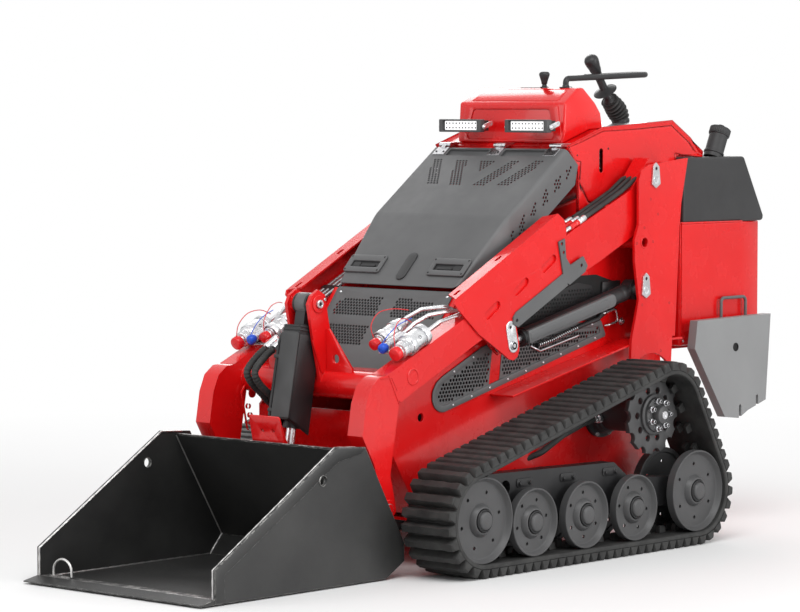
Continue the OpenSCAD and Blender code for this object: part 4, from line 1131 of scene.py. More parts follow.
# Outline of the body's side, [y, z]
BODY_SIDE = ((700, 930.3), (700, 1140), (820, 1140), (774, 1182), (685, 1234), (354, 1215), (200, 1165),
             (240, 1110), (236, 930.3))
SLOT_ENDS = (347, 1098), (347, 1152)
CONSOLE_TOP = 1339.0
CONSOLE_LOW, CONSOLE_EDGE, CONSOLE_BROW = (232.0, 1175.7), (240.0, 1294.0), (318.0, CONSOLE_TOP)
CONSOLE_BACK = ((382.3, 1294), (407, 1265))
LAMP_X, LAMP_LOW, LAMP_HIGH = 129.0, 1208.0, 1246.0
LIGHTS, LIGHT_SPACING, FIN_SPACING = 10, 12.6, 11.5
STICK_X = 96.0
STICK_KNOB = [(0, -8), (18, -8), (21, -2), (15, 6), (12.2, 10), (12, 28), (30, 29.6), (36.6, 31), (37, 32.4),
              (30, 35.6), (17, 40.5), (12.6, 44), (12, 82), (14.6, 84), (14.8, 88), (13.2, 90), (14, 100),
              (17.4, 112), (18, 120), (20.6, 132), (22, 142), (21.4, 150), (17.5, 157), (10, 162), (0, 163)]
BOOT_LINE = [(636.5, 1246), (632, 1253), (621, 1268), (606, 1283), (588, 1297), (580, 1304)]
RAIL_X, RAIL_INNER_X, RAIL_FOOT_Y, RAIL_HEIGHT = 130, 62, 334, 1366
LEVER = [(0, 0), (13, 0), (13, 2.5), (8, 4.5), (6.5, 10), (8.5, 11.5), (9.5, 18), (13, 29), (16, 38),
         (15.4, 43), (12, 47), (6, 48), (0, 48.2)]


def deck_z(y):
    """Height of the body's top over a place y."""
    return 1165 + (y - 200) * 50 / 154 if y < 354 else 1215 + (y - 354) * 19 / 331


class LOADER_PG_controls(bpy.types.PropertyGroup):
    body_bend: FloatProperty(name="Body bends", description="Radius of the body's bends",
                             default=0.009, unit="LENGTH")
    console_bend: FloatProperty(name="Console bends", description="Radius of the console's edges",
                                default=0.006, unit="LENGTH")
    ribs: FloatProperty(name="Boot ribs", description="Distance between the ribs of the joystick's boot",
                        default=0.0128, unit="LENGTH")


class LOADER_OT_body(bpy.types.Operator):
    """Makes the folded body panel behind the hood, with a slot and a row of screws in each side, and painted
    shadow inside the slots and in two small holes
    """
    bl_idname = "loader.body"
    bl_label = "Body"

    def execute(self, context):
        form = Form()
        w = reach("body_sides")[1].x
        n = len(BODY_SIDE)
        corners = [(s * w, *p) for s in (1, -1) for p in BODY_SIDE]
        faces = [(i, i + 1, n + i + 1, n + i) for i in range(n - 1)]
        faces += [tuple(range(n)), tuple(range(2 * n - 1, n - 1, -1))]
        slot, slot_shadow = capsule(*SLOT_ENDS, 9), capsule(*SLOT_ENDS, 12)
        bend = context.scene.loader_controls.body_bend / MM
        skin(form, corners, faces, "red_paint", bend, 3.0, {n - 1: (side(), [slot]), n: (side(), [slot])})
        # Painted shadow: a near-black plate behind each slot.
        form.slab(slot_shadow, side(w), -16, -13, "shadow")
        for z in (1104, 1118, 1132, 1146):
            form.screw(outward(w - 12.8, 350, z), "steel", 3.2, 3)
        # Painted shadow: near-black domes in two small holes.
        form.screw(outward(w, 380, 1160), "shadow", 3.4, 1.2)
        form.screw(outward(w, 236, 1142), "shadow", 2.6, 1.0)
        form.slab(slot_shadow, side(-w), 13, 16, "shadow")
        form.piece("body_panel", "root", "red_paint", "body_sides", angle=30)
        return {"FINISHED"}


class LOADER_OT_console(bpy.types.Operator):
    """Makes the console with its chamfered top and the recessed panel in its front"""
    bl_idname = "loader.console"
    bl_label = "Console"

    def execute(self, context):
        form = Form()
        w = reach("console")[1].x
        top = w - 15
        bend = context.scene.loader_controls.console_bend / MM
        half = [(w, *CONSOLE_LOW), (w, *CONSOLE_EDGE), (top, *CONSOLE_BROW), (top, 344, CONSOLE_TOP),
                *((w, *p) for p in CONSOLE_BACK), (w, 417, deck_z(417)), (w, 354, 1215.3)]
        n = len(half)
        corners = half + [(-x, y, z) for x, y, z in half]
        faces = [(i, i + 1, n + i + 1, n + i) for i in range(n - 1)] + [(7, 0, n, n + 7)]
        for at in (0, n):
            faces += [(at, at + 1, at + 4, at + 5, at + 6, at + 7), (at + 1, at + 2, at + 3, at + 4)]
        form.solid(corners, faces, "red_paint", bend, 3)
        front = slope(CONSOLE_LOW, CONSOLE_EDGE)
        outer = rounded([(-w + 4, 4), (w - 4, 4), (w - 26, 114), (-w + 26, 114)], 10, 4)
        inner = rounded([(-w + 34, 12), (w - 34, 12), (w - 58, 100), (-w + 58, 100)], 12, 4)
        form.slab(outer, front, -0.5, 2.6, "red_paint", [inner], bevel=2.2)
        brow = slope(CONSOLE_EDGE, CONSOLE_BROW)
        form.slab(rounded([(-top + 20, 12), (top - 20, 12), (top - 30, 76), (-top + 30, 76)], 8, 4), brow,
                  -0.5, 1.4, "red_paint", bevel=1.2)
        for x in (-150, 150):
            form.screw(above(x, 331, CONSOLE_TOP), "steel", 4, 2)
        form.slab(rectangle(-38, 322, 38, 341, 5, 4), plan(CONSOLE_TOP), -0.2, 1.4, "black_paint", bevel=0.6)
        form.piece("console_shell", "root", "red_paint", "console", angle=30)
        return {"FINISHED"}


class LOADER_OT_lamps(bpy.types.Operator):
    """Makes the two work lamps with their frames, rows of lights, cooling fins and side straps"""
    bl_idname = "loader.lamps"
    bl_label = "Work lamps"

    def execute(self, context):
        face = facing(reach("work_lamps")[0].y)
        z0, z1 = LAMP_LOW, LAMP_HIGH
        form = Form()
        for x in (-LAMP_X, LAMP_X):
            form.slab(rectangle(x - 82, z0, x + 82, z1, 3), face, -20, -0.2, "wheel_grey",
                      [rectangle(x - 68, z0 + 5, x + 66, z1 - 4, 2)], bevel=1.6)
            # Painted shadow: a near-black plate in the gap between the frame and the face.
            form.slab(rectangle(x - 70, z0 + 3, x + 68, z1 - 3), face, -16, -15, "shadow")
            form.slab(rectangle(x - 62, z0 + 6, x + 66, z1 - 5, 2), face, -15, -5, "lamp_face", bevel=0.8)
            for k in range(LIGHTS):
                for z in (z0 + 13, z1 - 12):
                    form.turned([(3.1, 0), (2.6, 0.7), (1.2, 0.9), (0, 0.9)],
                                moved(face, x - 55 + k * LIGHT_SPACING, z, -5), "light_grey_paint", 10)
            form.block(rectangle(x - 74, z0 + 4, x + 74, z1 - 4), face, -28, -19, "plastic", 1.5)
            for k in range(-6, 7):
                fin = x + k * FIN_SPACING
                form.block(rectangle(fin - 2.2, z0 + 4, fin + 2.2, z1 - 3), face, -51, -26, "plastic", 0.8, 1)
            form.block(rectangle(-20, -50, 20, 20), above(x, 222, 1217), 0, 20, "plastic", 1.5)
            form.block(capsule((x - 4, 1227), (x + 4, 1227), 9), face, -84, -50, "steel", 1)
            for s in (-1, 1):
                form.slab(capsule((166, 1224), (199, 1234), 7.5), side(x + s * 84), -1.6, 1.6, "bright",
                          [circle((197, 1233), 2.4, 10)], bevel=0.7)
                form.bolt(pointing((x + s * 85.8, 166, 1223), (s, 0, 0)), "steel", 5.2, 5)
        form.piece("lamp_bodies", "root", "plastic", "work_lamps", angle=36)
        return {"FINISHED"}


class LOADER_OT_controls(bpy.types.Operator):
    """Makes the joystick with its ribbed boot, the small lever, the handrail and the deck plate's screws"""
    bl_idname = "loader.controls"
    bl_label = "Controls"

    def execute(self, context):
        self.joystick(context.scene.loader_controls.ribs / MM)
        lever = Form().turned(LEVER, above(50, 331, CONSOLE_TOP + 0.3), "black_paint", 28)
        lever.piece("small_lever", "root", "black_paint", "control_lever", angle=50)
        rail = Form()
        r = 8.9
        rise = math.tan(math.radians(2.2))
        corner = RAIL_HEIGHT + 384 * rise
        route = [(RAIL_X, RAIL_FOOT_Y, CONSOLE_TOP), (RAIL_X, RAIL_FOOT_Y, RAIL_HEIGHT),
                 (RAIL_X, 734, corner), (RAIL_INNER_X, 734, corner),
                 (RAIL_INNER_X, 509, RAIL_HEIGHT + 159 * rise)]
        rail.tube(rounded(route, (0, 16, 34, 34, 0), 9, closed=False), r, "black_paint", 18)
        rail.turned([(r, 0), (r, 0.6), (7, 2.6), (0, 3)], pointing(route[-1], (0, -1, -rise)),
                    "black_paint", 18)
        rail.turned([(0, 0), (19, 0), (19, 2.4), (17.5, 3.4), (11, 4), (9.5, 8), (0, 8)],
                    above(RAIL_X, RAIL_FOOT_Y, CONSOLE_TOP), "black_paint", 24)
        rail.piece("hand_rail", "root", "black_paint", "handrail", angle=44)
        screws = Form()
        for x in (-188, 0, 188):
            for y in (442, 658):
                screws.screw(pointing((x, y, deck_z(y) + 3.4), (0, -0.057, 1)), "steel", 4.5, 2)
        screws.piece("deck_screws", "root", "steel")
        return {"FINISHED"}

    def joystick(self, pitch):
        """A collar on the deck, a leaning boot with ribs a pitch apart, and the stick with its button."""
        form = Form()
        form.turned([(0, 0), (27, 0), (27.6, 2), (27, 11), (24, 14), (0, 14)],
                    pointing((STICK_X, 637, deck_z(637) + 3.9), leaning(3.3)), "black_paint", 32)

        def swell(d):
            """Radius of the boot at a distance along it."""
            rib = 5.6 * math.cos(math.tau * (d - 4) / pitch)
            return 23.0 + rib + 4.5 * math.sin(min(1.0, d / 70) * math.pi) - d * 0.01

        form.tube(fine([(STICK_X, *p) for p in BOOT_LINE], 1.6), swell, "rubber", 32)
        stem = pointing((STICK_X, 581, 1303), leaning(36))
        form.turned(STICK_KNOB, stem, "black_paint", 32)
        form.turned([(0, 0), (6.5, 0), (6.5, 3), (4.5, 5), (0, 5.4)],
                    moved(stem, 0, 19.5, 140) @ Matrix.Rotation(-math.pi / 2, 4, "X"), "plastic", 16)
        form.piece("joystick_boot", "root", "black_paint", "joystick", angle=50)


# ---------------------------------------------------------------- rear box, tank and towers

class LOADER_PG_rear(bpy.types.PropertyGroup):
    lip: FloatProperty(name="Box lip", description="Width of the folded lip at the rear box's front edges",
                       default=0.010, unit="LENGTH")
    grips: FloatProperty(name="Cap grips", description="Depth of the grooves round the filler caps",
                         default=0.0012, unit="LENGTH")


NECK_FOOT, NECK_ANGLE = (235, 912, 1120), 25.0      # the tall filler neck, leaning to the rear
# Places of the small holes in the towers, each painted as a disc of shadow
TOWER_HOLES = ((504, 966), (439, 927), (480, 885), (404, 882), (469, 1011), (560, 700),
               (430, 700), (520, 560))


class LOADER_OT_caps(bpy.types.Operator):
    """Makes the tall filler neck and the low cap, with grooves for the fingers"""
    bl_idname = "loader.caps"
    bl_label = "Filler caps"

    def execute(self, context):
        groove = context.scene.loader_rear.grips / MM
        form = Form()
        neck = pointing(NECK_FOOT, leaning(-NECK_ANGLE))
        form.turned([(0, 6), (29, 6), (29, 18), (31.5, 20), (31.5, 25), (29, 27), (29, 80), (32, 82),
                     (32, 84), (0, 84)], neck, "plastic", 40)
        self.cap(form, neck, 33, 84, 106, 36, groove)
        form.turned([(11.5, 105.5), (11.5, 112), (10, 114.4), (0, 115)], neck, "plastic", 24)
        low = above(190, 860, 1130.3)
        form.turned([(0, 0), (28, 0), (28, 3), (25, 4.5), (0, 4.5)], low, "plastic", 36)
        self.cap(form, low, 26, 4, 16, 28, groove)
        form.piece("filler_necks", "root", "plastic", "filler_caps", angle=38)
        return {"FINISHED"}

    def cap(self, form, place, r, w0, w1, grips, groove):
        """A cap with grooves round it, from w0 to w1."""
        ring = [polar(r if k % 4 in (1, 2) else r - groove, math.tau * k / (4 * grips))
                for k in range(4 * grips)]
        form.slab(ring, place, w0, w1 - 2, "plastic", bevel=0.9)
        form.turned([(r - 2.2, w1 - 3), (r - 2.6, w1 - 0.8), (r - 4.6, w1), (0, w1)], place, "plastic", 40)


class LOADER_OT_box(bpy.types.Operator):
    """Adds the rear box's front lips and creases, the handles' feet and the bolts of the rear plates"""
    bl_idname = "loader.box"
    bl_label = "Rear box"

    def execute(self, context):
        lip = context.scene.loader_rear.lip / MM
        low, high = reach("rear_box")
        form = Form()
        edge = side(high.x)
        form.slab(rectangle(low.y, low.z, low.y + lip, high.z + 4, 1), edge, -0.5, 3.2,
                  "red_paint", bevel=1.2)
        form.slab([(low.y + lip, high.z - 1), (997, high.z - 1), (997, high.z + 3), (704, high.z + 5),
                   (low.y + lip, high.z + 6)], edge, -5, 0.6, "red_paint", bevel=0.8)
        for y in (874, 998):
            form.turned([(0, -0.2), (9, -0.2), (9, 1.6), (5, 3.4), (0, 3.4)], outward(high.x, y, 633),
                        "red_paint", 20)
        for y in (700, 846, 990):
            form.screw(outward(high.x, y, low.z + 14), "steel", 4.2, 2)
        form.mirrored().piece("box_lips", "root", "red_paint", angle=36)
        bolts = Form()
        plate = reach("rear_plates")[1].x
        for y, z in ((760, 600), (960, 600)):
            bolts.turned([(20, -30), (20, -0.4), (17, -0.4)], outward(plate, y, z), "light_grey_paint", 20)
        # Painted shadow: a near-black disc in a hole of the rear plate.
        bolts.turned([(0, 0), (13, 0), (13, 1.6), (9.2, 2.4), (9.2, -4), (0, -4)],
                     outward(plate, 885, 551), "shadow", 24)
        bolts.mirrored().piece("plate_bushes", "root", "light_grey_paint", angle=36)
        return {"FINISHED"}


class LOADER_OT_towers(bpy.types.Operator):
    """Adds the pin ends, keeper screws and the ring of small holes of the arm towers, with painted shadow in the
    pins' ends, round the pins, on the keeper screws and in the holes
    """
    bl_idname = "loader.towers"
    bl_label = "Towers"

    def execute(self, context):
        form = Form()
        pins = reach("tower_pins")[1].x
        plate = reach("towers")[1].x
        for name in ("lift", "lift_barrel_swing_l"):
            y, z = joint_place(name)
            out = outward(pins, y, z)
            form.turned([(0, -4), (6.5, -4), (6.5, 0.2), (8.5, 0.6), (12.6, 0.6), (13.4, -0.4), (13.6, -6)],
                        out, "bright", 28)
            # Painted shadow: a dark disc in the pin's end, a dark ring round the pin and a dark keeper screw.
            form.turned([(0, -3.8), (6.4, -3.8)], out, "shadow", 20)
            form.turned([(13.8, -5.6), (15.4, -5.2), (17.2, -5.4)], out, "shadow", 28)
            form.screw(outward(pins, y, z + 34), "shadow", 4.8, 1.0)
        for y, z in TOWER_HOLES:
            # Painted shadow: each small hole is a near-black disc.
            form.turned([(0, -0.3), (2.6, -0.3), (3.0, 0.25), (3.8, 0.1)], outward(plate, y, z), "shadow", 12)
        form.turned([(14, -8), (14, 1.2), (14.6, 1.8), (18, 1.8), (18.8, 1.0), (18.8, -0.5)],
                    outward(plate, 440, 884), "red_paint", 30)
        form.mirrored().piece("tower_fittings", "root", "steel", angle=40)
        return {"FINISHED"}


# ---------------------------------------------------------------- lift arms

ARM_LOW, ARM_BEND, ARM_MID, ARM_HIGH = (-660.0, 556.0), (-350.0, 690.0), (140.0, 929.0), (404.0, 1039.0)
CROSS = (-590.0, 515.0)         # centre of the front cross tube
ARM_FACE, EAR_FACE = 322.0, 46.0    # outer faces of an arm and of the middle ears
BUCKET_HINGE = (-652.0, 190.0)
LIFT_LINK = (-151, 662)         # the screw above the lift cylinder's pin on the arm
LANE = 20.0                     # between two hoses of an arm
# Couplers: place across, along and above the arm's lower part, radius, look
COUPLERS = ((306, 62, 29, 28, "red_cap"), (212, 86, 41, 23, "red_cap"), (254, 70, 38, 12, "blue_cap"))
COUPLER_BODY = ((15.5, 19), (15.5, 27), (21.5, 28), (23, 29.5), (23, 33), (21.4, 34), (21.4, 37), (23.2, 38),
                (23.2, 47), (22, 49), (24.5, 50), (26, 52), (28, 56), (28, 66), (27, 67), (27, 70), (28, 71),
                (28, 124), (26, 128), (20, 131), (14, 133), (14, 146), (9, 147), (0, 147))
COUPLER_CAP = ((0, 0), (15, 0), (18, 1.5), (19.2, 4), (19.5, 18), (18.6, 20), (16, 20.5))
COUPLER_R = 28                  # radius that the two profiles are drawn for
# Ends of the three lanes' pipes, and marks along the lanyards: across, along and above the arm's lower part
LEADS = (((284, 330, 46), (250, 268, 66), (224, 226, 58), (212, 196, 42)),
         ((290, 318, 36), (276, 262, 52), (260, 214, 48), (254, 168, 38)),
         ((308, 326, 18), (308, 262, 32), (306, 236, 30), (306, 204, 29)))
LANYARDS = (("red_cap", ((306, 76, 48), (300, 92, 78), (290, 128, 96), (278, 168, 88), (272, 196, 62))),
            ("red_cap", ((212, 98, 60), (206, 108, 92), (208, 146, 112), (222, 190, 104), (244, 226, 84))),
            ("blue_cap", ((254, 84, 52), (258, 116, 66), (262, 156, 74), (268, 206, 70))))
TILT_PIN, LINK_PIN = Vector((-640.0, 738.0)), Vector((-715.0, 305.0))
BASE_PIN, ROD_PIN = Vector((443.0, 743.0)), Vector((-138.0, 609.0))


def on_edge(a, b, x, s, h):
    """A point beside the arm's top edge from a to b: s along it and h above it."""
    return slope(a, b) @ Vector((x, s, h))


class LOADER_PG_arms(bpy.types.PropertyGroup):
    hose: FloatProperty(name="Hose", description="Diameter of the hoses on the arms",
                        default=0.0135, unit="LENGTH")
    pipe: FloatProperty(name="Pipe", description="Diameter of the pipes on the arms",
                        default=0.011, unit="LENGTH")
    lanyard: FloatProperty(name="Lanyard", description="Diameter of the cords that hold the caps",
                           default=0.0026, unit="LENGTH")


class LOADER_OT_hydraulics(bpy.types.Operator):
    """Makes the hoses, fittings and pipes along both arms, and the quick couplers with their caps"""
    bl_idname = "loader.hydraulics"
    bl_label = "Hoses and couplers"

    def execute(self, context):
        sizes = context.scene.loader_arms
        hose, pipe, cord = (value / MM / 2 for value in (sizes.hose, sizes.pipe, sizes.lanyard))
        outer = reach("arm_hoses")[1].x - hose
        lanes = [outer - LANE * k for k in (2, 1, 0)]
        self.hoses(lanes, hose)
        self.pipes(lanes, pipe)
        self.couplers(cord)
        return {"FINISHED"}

    def hoses(self, lanes, r):
        """Three hoses along each arm's upper part, with their fittings and a strap."""
        form = Form()
        for k, x in enumerate(lanes):
            route = [on_edge(ARM_MID, ARM_HIGH, x, s, r + h) for s, h in ((62, 1.2), (150, 1.6), (250, 3))]
            route += [Vector((x, 424 + 4 * k, 1069)), Vector((x - 1, 466, 1078))]
            form.tube(rounded(route, 26, 5, closed=False), r, "rubber", 16)
            ahead = on_edge(ARM_MID, ARM_HIGH, x, 60, 0) - on_edge(ARM_MID, ARM_HIGH, x, 0, 0)
            foot = pointing(on_edge(ARM_MID, ARM_HIGH, x, 6 - 7 * (2 - k), r + 1.2), ahead)
            form.turned([(0, 30), (8.6, 30), (9.6, 31.5), (9.6, 40), (8.4, 41), (8.4, 43), (9.6, 44),
                         (9.6, 60), (8.8, 62), (8, 62)], foot, "bright", 20)
            form.nut(foot, 10.2, 12, 29, "red_paint", start=0.3)
            form.turned([(0, 2), (7, 2), (8, 4), (8, 12), (0, 12)], foot, "red_paint", 18)
            form.nut(foot, 10.4, -10, 3, "red_paint")
            form.rod(foot, 6.4, -22, -10, "bright", 16)
        form.block(rectangle(lanes[0] - 10, 160, lanes[2] + 9, 176), slope(ARM_MID, ARM_HIGH), 0.3, 2.4,
                   "red_paint", 0.8)
        form.mirrored().piece("arm_hose_set", "arms", "rubber", "arm_hoses", angle=40)

    def pipes(self, lanes, r):
        """Three pipes along each arm's middle part, down to the couplers, with their clamps."""
        form = Form()
        for k, x in enumerate(lanes):
            route = [on_edge(ARM_MID, ARM_HIGH, x, -8 - 7 * (2 - k), 9)]
            route += [on_edge(ARM_BEND, ARM_MID, x - 2, s, r + 1.5) for s in (505, 470, 40)]
            route += [on_edge(ARM_LOW, ARM_BEND, *p) for p in LEADS[k]]
            form.tube(rounded(route, 30, 5, closed=False), r, "bright", 12)
        for s in (120, 300, 450):
            form.block(rectangle(lanes[0] - 11, s, lanes[2] + 7, s + 18), slope(ARM_BEND, ARM_MID), 0.3,
                       13, "plastic", 1.5)
        form.mirrored().piece("arm_pipe_set", "arms", "steel", "arm_pipes", angle=40)

    def couplers(self, cord):
        """The couplers with their caps, the brackets that hold them, and the caps' lanyards."""
        form = Form()
        along = on_edge(ARM_LOW, ARM_BEND, 0, 1, 0) - on_edge(ARM_LOW, ARM_BEND, 0, 0, 0)
        for x, s, h, r, cap in COUPLERS:
            at = pointing(on_edge(ARM_LOW, ARM_BEND, x, s, h), along)
            if cap == "red_cap":
                self.big(form, at, r / COUPLER_R)
            else:
                self.small(form, at)
        self.bracket(form)
        for look, marks in LANYARDS:
            form.tube(smooth([on_edge(ARM_LOW, ARM_BEND, *m) for m in marks], 6), cord, look, 8)
        form.mirrored().piece("quick_couplers", "arms", "steel", "couplers", angle=36)

    def big(self, form, at, k):
        """A coupler with a deep cap, k times its drawn radius."""
        form.turned([(a * k, w) for a, w in COUPLER_CAP], at, "red_cap", 32)
        form.turned([(4.2 * k, -0.3), (5, -0.4), (5.4, 0.4)], at, "red_cap", 14)
        form.turned([(a * k, w) for a, w in COUPLER_BODY], at, "bright", 40)
        # Painted shadow: three holes in the body, each a near-black ring.
        for turn in (0.6, 2.7, 4.6):
            hole = (moved(at, 0, 0, 92) @ Matrix.Rotation(turn, 4, "Z") @ Matrix.Rotation(math.pi / 2, 4, "Y")
                    @ Matrix.Scale(k, 4))
            form.turned([(4.6, 27.4), (4.6, 28.8), (3.4, 28.8), (3.0, 27.8)], hole, "shadow", 14)

    def small(self, form, at):
        """The thin coupler with its domed cap."""
        form.turned([(0, 0), (9, 0), (12, 2), (14, 6), (14.5, 14), (13, 20), (10.5, 23), (10, 24)],
                    at, "blue_cap", 28)
        form.turned([(4, 0.6), (4.5, -0.8), (6.4, -0.8), (6.8, 0.4)], at, "blue_cap", 14)
        form.turned([(10, 22), (10, 34), (12.6, 35), (12.6, 52), (11, 53), (11, 58), (12.4, 59), (12.4, 92),
                     (10, 95), (7, 96), (7, 106), (0, 106)], at, "bright", 24)

    def bracket(self, form):
        """Two straps on the arm, each with a sleeve round both big couplers and a block between them."""
        place = slope(ARM_LOW, ARM_BEND)
        turned = place.to_3x3()
        across = [(1, 0, 0), turned @ Vector((0, 0, 1)), turned @ Vector((0, 1, 0))]
        for s in (118, 176):
            form.slab(rectangle(190, s, 318, s + 20, 5), place, 0.3, 3.6, "bright", bevel=1)
            for x, _, h, r, _ in COUPLERS[:2]:
                form.slab(circle((x, h), r + 3, 32), basis(place @ Vector((0, s + 1, 0)), *across), 0, 18,
                          "bright", [circle((x, h), r, 32)], bevel=0.8)
            form.block(rectangle(206, 2, 218, 22), basis(place @ Vector((0, s + 2, 0)), *across), 0,
                       16, "bright", 1)


class LOADER_OT_front(bpy.types.Operator):
    """Adds the bosses, pins, gussets and weld seams of the arms' front end and of the lift pins"""
    bl_idname = "loader.front"
    bl_label = "Arm fittings"

    def execute(self, context):
        self.ears()
        self.beams()
        return {"FINISHED"}

    def ears(self):
        """Bosses, pin and gussets of the middle ears on the cross tube."""
        form = Form()
        out = outward(EAR_FACE, *TILT_PIN)
        form.turned([(12, -0.3), (25, -0.3), (25, 2.6), (23.6, 4), (13, 4), (12, 3)], out, "red_paint", 36)
        form.turned([(27, -10.3), (27, -14.5), (25.6, -15.3), (12.4, -15.3), (12.4, -14)], out,
                    "red_paint", 36)
        form.turned([(12, 3), (12, 9), (10.6, 10.4), (6.2, 10.4), (5.6, 9.6), (5.6, 4), (0, 4)],
                    out, "bright", 28)
        # Painted shadow: a near-black disc in the pin's end.
        form.turned([(5.5, 9.2), (0, 9.2)], out, "shadow", 16)
        form.nut(moved(out, 22, 12, 3.4), 5, 0, 3, "bright", 0.6)
        gusset = facing(-606)
        form.slab([(46, 548), (146, 548), (146, 560), (58, 668), (46, 668)], gusset, -4, 4, "red_paint",
                  [circle((84, 586), 12, 24)], bevel=1.6)
        form.tube([(EAR_FACE + 0.5, *p) for p in ((-664, 640), (-631, 553), (-622, 545))],
                  3.0, "red_paint", 8)
        form.mirrored().piece("ear_fittings", "arms", "red_paint", angle=36)

    def beams(self):
        """Pins, bosses and seams of the arms themselves."""
        form = Form()
        face = reach("arm_pins")[1].x
        pin = outward(face, *ROD_PIN)
        form.turned([(12, -6), (12, -0.6), (10.6, 0), (6, 0), (5.4, -0.8), (5.4, -5), (0, -5)],
                    pin, "bright", 28)
        # Painted shadow: a near-black disc in the pin's end.
        form.turned([(5.2, -0.9), (0, -0.9)], pin, "shadow", 14)
        form.slab(capsule(ROD_PIN, (-150, 660), 20, 10), side(face), -6, -3.2, "bright",
                  [circle(ROD_PIN, 12.4, 24), circle(LIFT_LINK, 4.4, 14)], bevel=0.8)
        # Painted shadow: a near-black dome in the hole at the lift link.
        form.screw(outward(face - 3.2, *LIFT_LINK), "shadow", 4.2, 1.4)
        form.turned([(24, -0.4), (24, 1.4), (22.6, 2.4), (20, 2.4), (19, 1.4), (19, 0.3), (0, 0.3)],
                    outward(ARM_FACE, -554, 546), "red_paint", 36)
        for path, r in ((((-652, 555), (-634, 520), (-610, 474)), 2.2),
                        (((-686, 548), (-640, 548), (-618, 512)), 1.6)):
            form.tube([(ARM_FACE + 0.2, *p) for p in path], r, "red_paint", 8)
        hinge = outward(ARM_FACE, *BUCKET_HINGE)
        form.turned([(26, -0.4), (26, 3), (24.5, 4.6), (15, 4.6)], hinge, "red_paint", 32)
        form.turned([(15, 4), (14, 5.8), (0, 5.8)], hinge, "bright", 28)
        seam = [Vector(CROSS) + polar(40, a) for a in (3.14, 2.6, 2.1, 1.57, 1.0, 0.6)]
        form.tube([(266, *p) for p in seam], 3.2, "red_paint", 8)
        plate = rounded([(-640, 474), (-626, 497), (-562, 484), (-552, 402), (-578, 362), (-616, 366)], 9, 3)
        form.slab(plate, side(255), -4, 4, "red_paint",
                  [circle(p, 6.5, 18) for p in ((-614, 434), (-607, 408), (-602, 386))], bevel=1.2)
        form.turned([(0, 0), (14, 0), (14, 3), (8, 6), (0, 6)], outward(259, -592, 470), "red_paint", 20)
        form.mirrored().piece("arm_fittings", "arms", "red_paint", angle=36)


# ---------------------------------------------------------------- cylinders and the machine's front

class LOADER_PG_cylinders(bpy.types.PropertyGroup):
    cover: FloatProperty(name="Lift cover", description="Half the width of the lift cylinders' covers",
                         default=0.0195, unit="LENGTH")
    tube: FloatProperty(name="Black tube", description="Diameter of the tube beside the tilt cylinder",
                        default=0.012, unit="LENGTH")
    wrap: FloatProperty(name="Wrapped hose", description="Diameter of the wrapped hoses at the front",
                        default=0.021, unit="LENGTH")


LIFT_X = 293.0      # middle of the left lift cylinder
WALL = 250.0        # outer face of the chassis' side wall
# Outline of a patch of painted shadow on the chassis' side wall, behind the mesh
WALL_SHADE = ((-150, 648), (70, 652), (352, 658), (440, 700), (440, 760), (330, 790), (260, 790),
               (60, 724), (-100, 668))
MESH_ZONE = ((-90, 662), (40, 668), (240, 672), (330, 700), (300, 752), (240, 762), (60, 712))
# Lines beside the wall: distance from it, y, z
WALL_ROD = ((3, 29, 596), (12, 40, 588), (12, 60, 580), (12, 236, 616), (2, 246, 618))
WALL_SPRING = ((9, 49, 596), (9, 114, 608), (9, 179, 626), (9, 253, 644), (9, 330, 660), (5, 372, 690))
WALL_HOOK = ((3, 346, 674), (14, 352, 675), (14, 405, 687), (14, 418, 649), (14, 376, 640), (4, 366, 638))
# Marks along the first wrapped hose, and how far the second one stands to its side
WRAP_LINE = ((-112, -690, 608), (-118, -716, 588), (-120, -752, 552), (-118, -742, 520), (-114, -700, 482),
             (-108, -668, 452), (-100, -640, 440), (-96, -612, 462), (-96, -596, 480))
WRAP_SHIFT = 30
PLATE_LOW, PLATE_HIGH = (-798, 336), (-823, 438)    # the red bracket's middle line


def off_wall(marks):
    """Places from marks beside the chassis' wall."""
    return [(WALL + out, y, z) for out, y, z in marks]


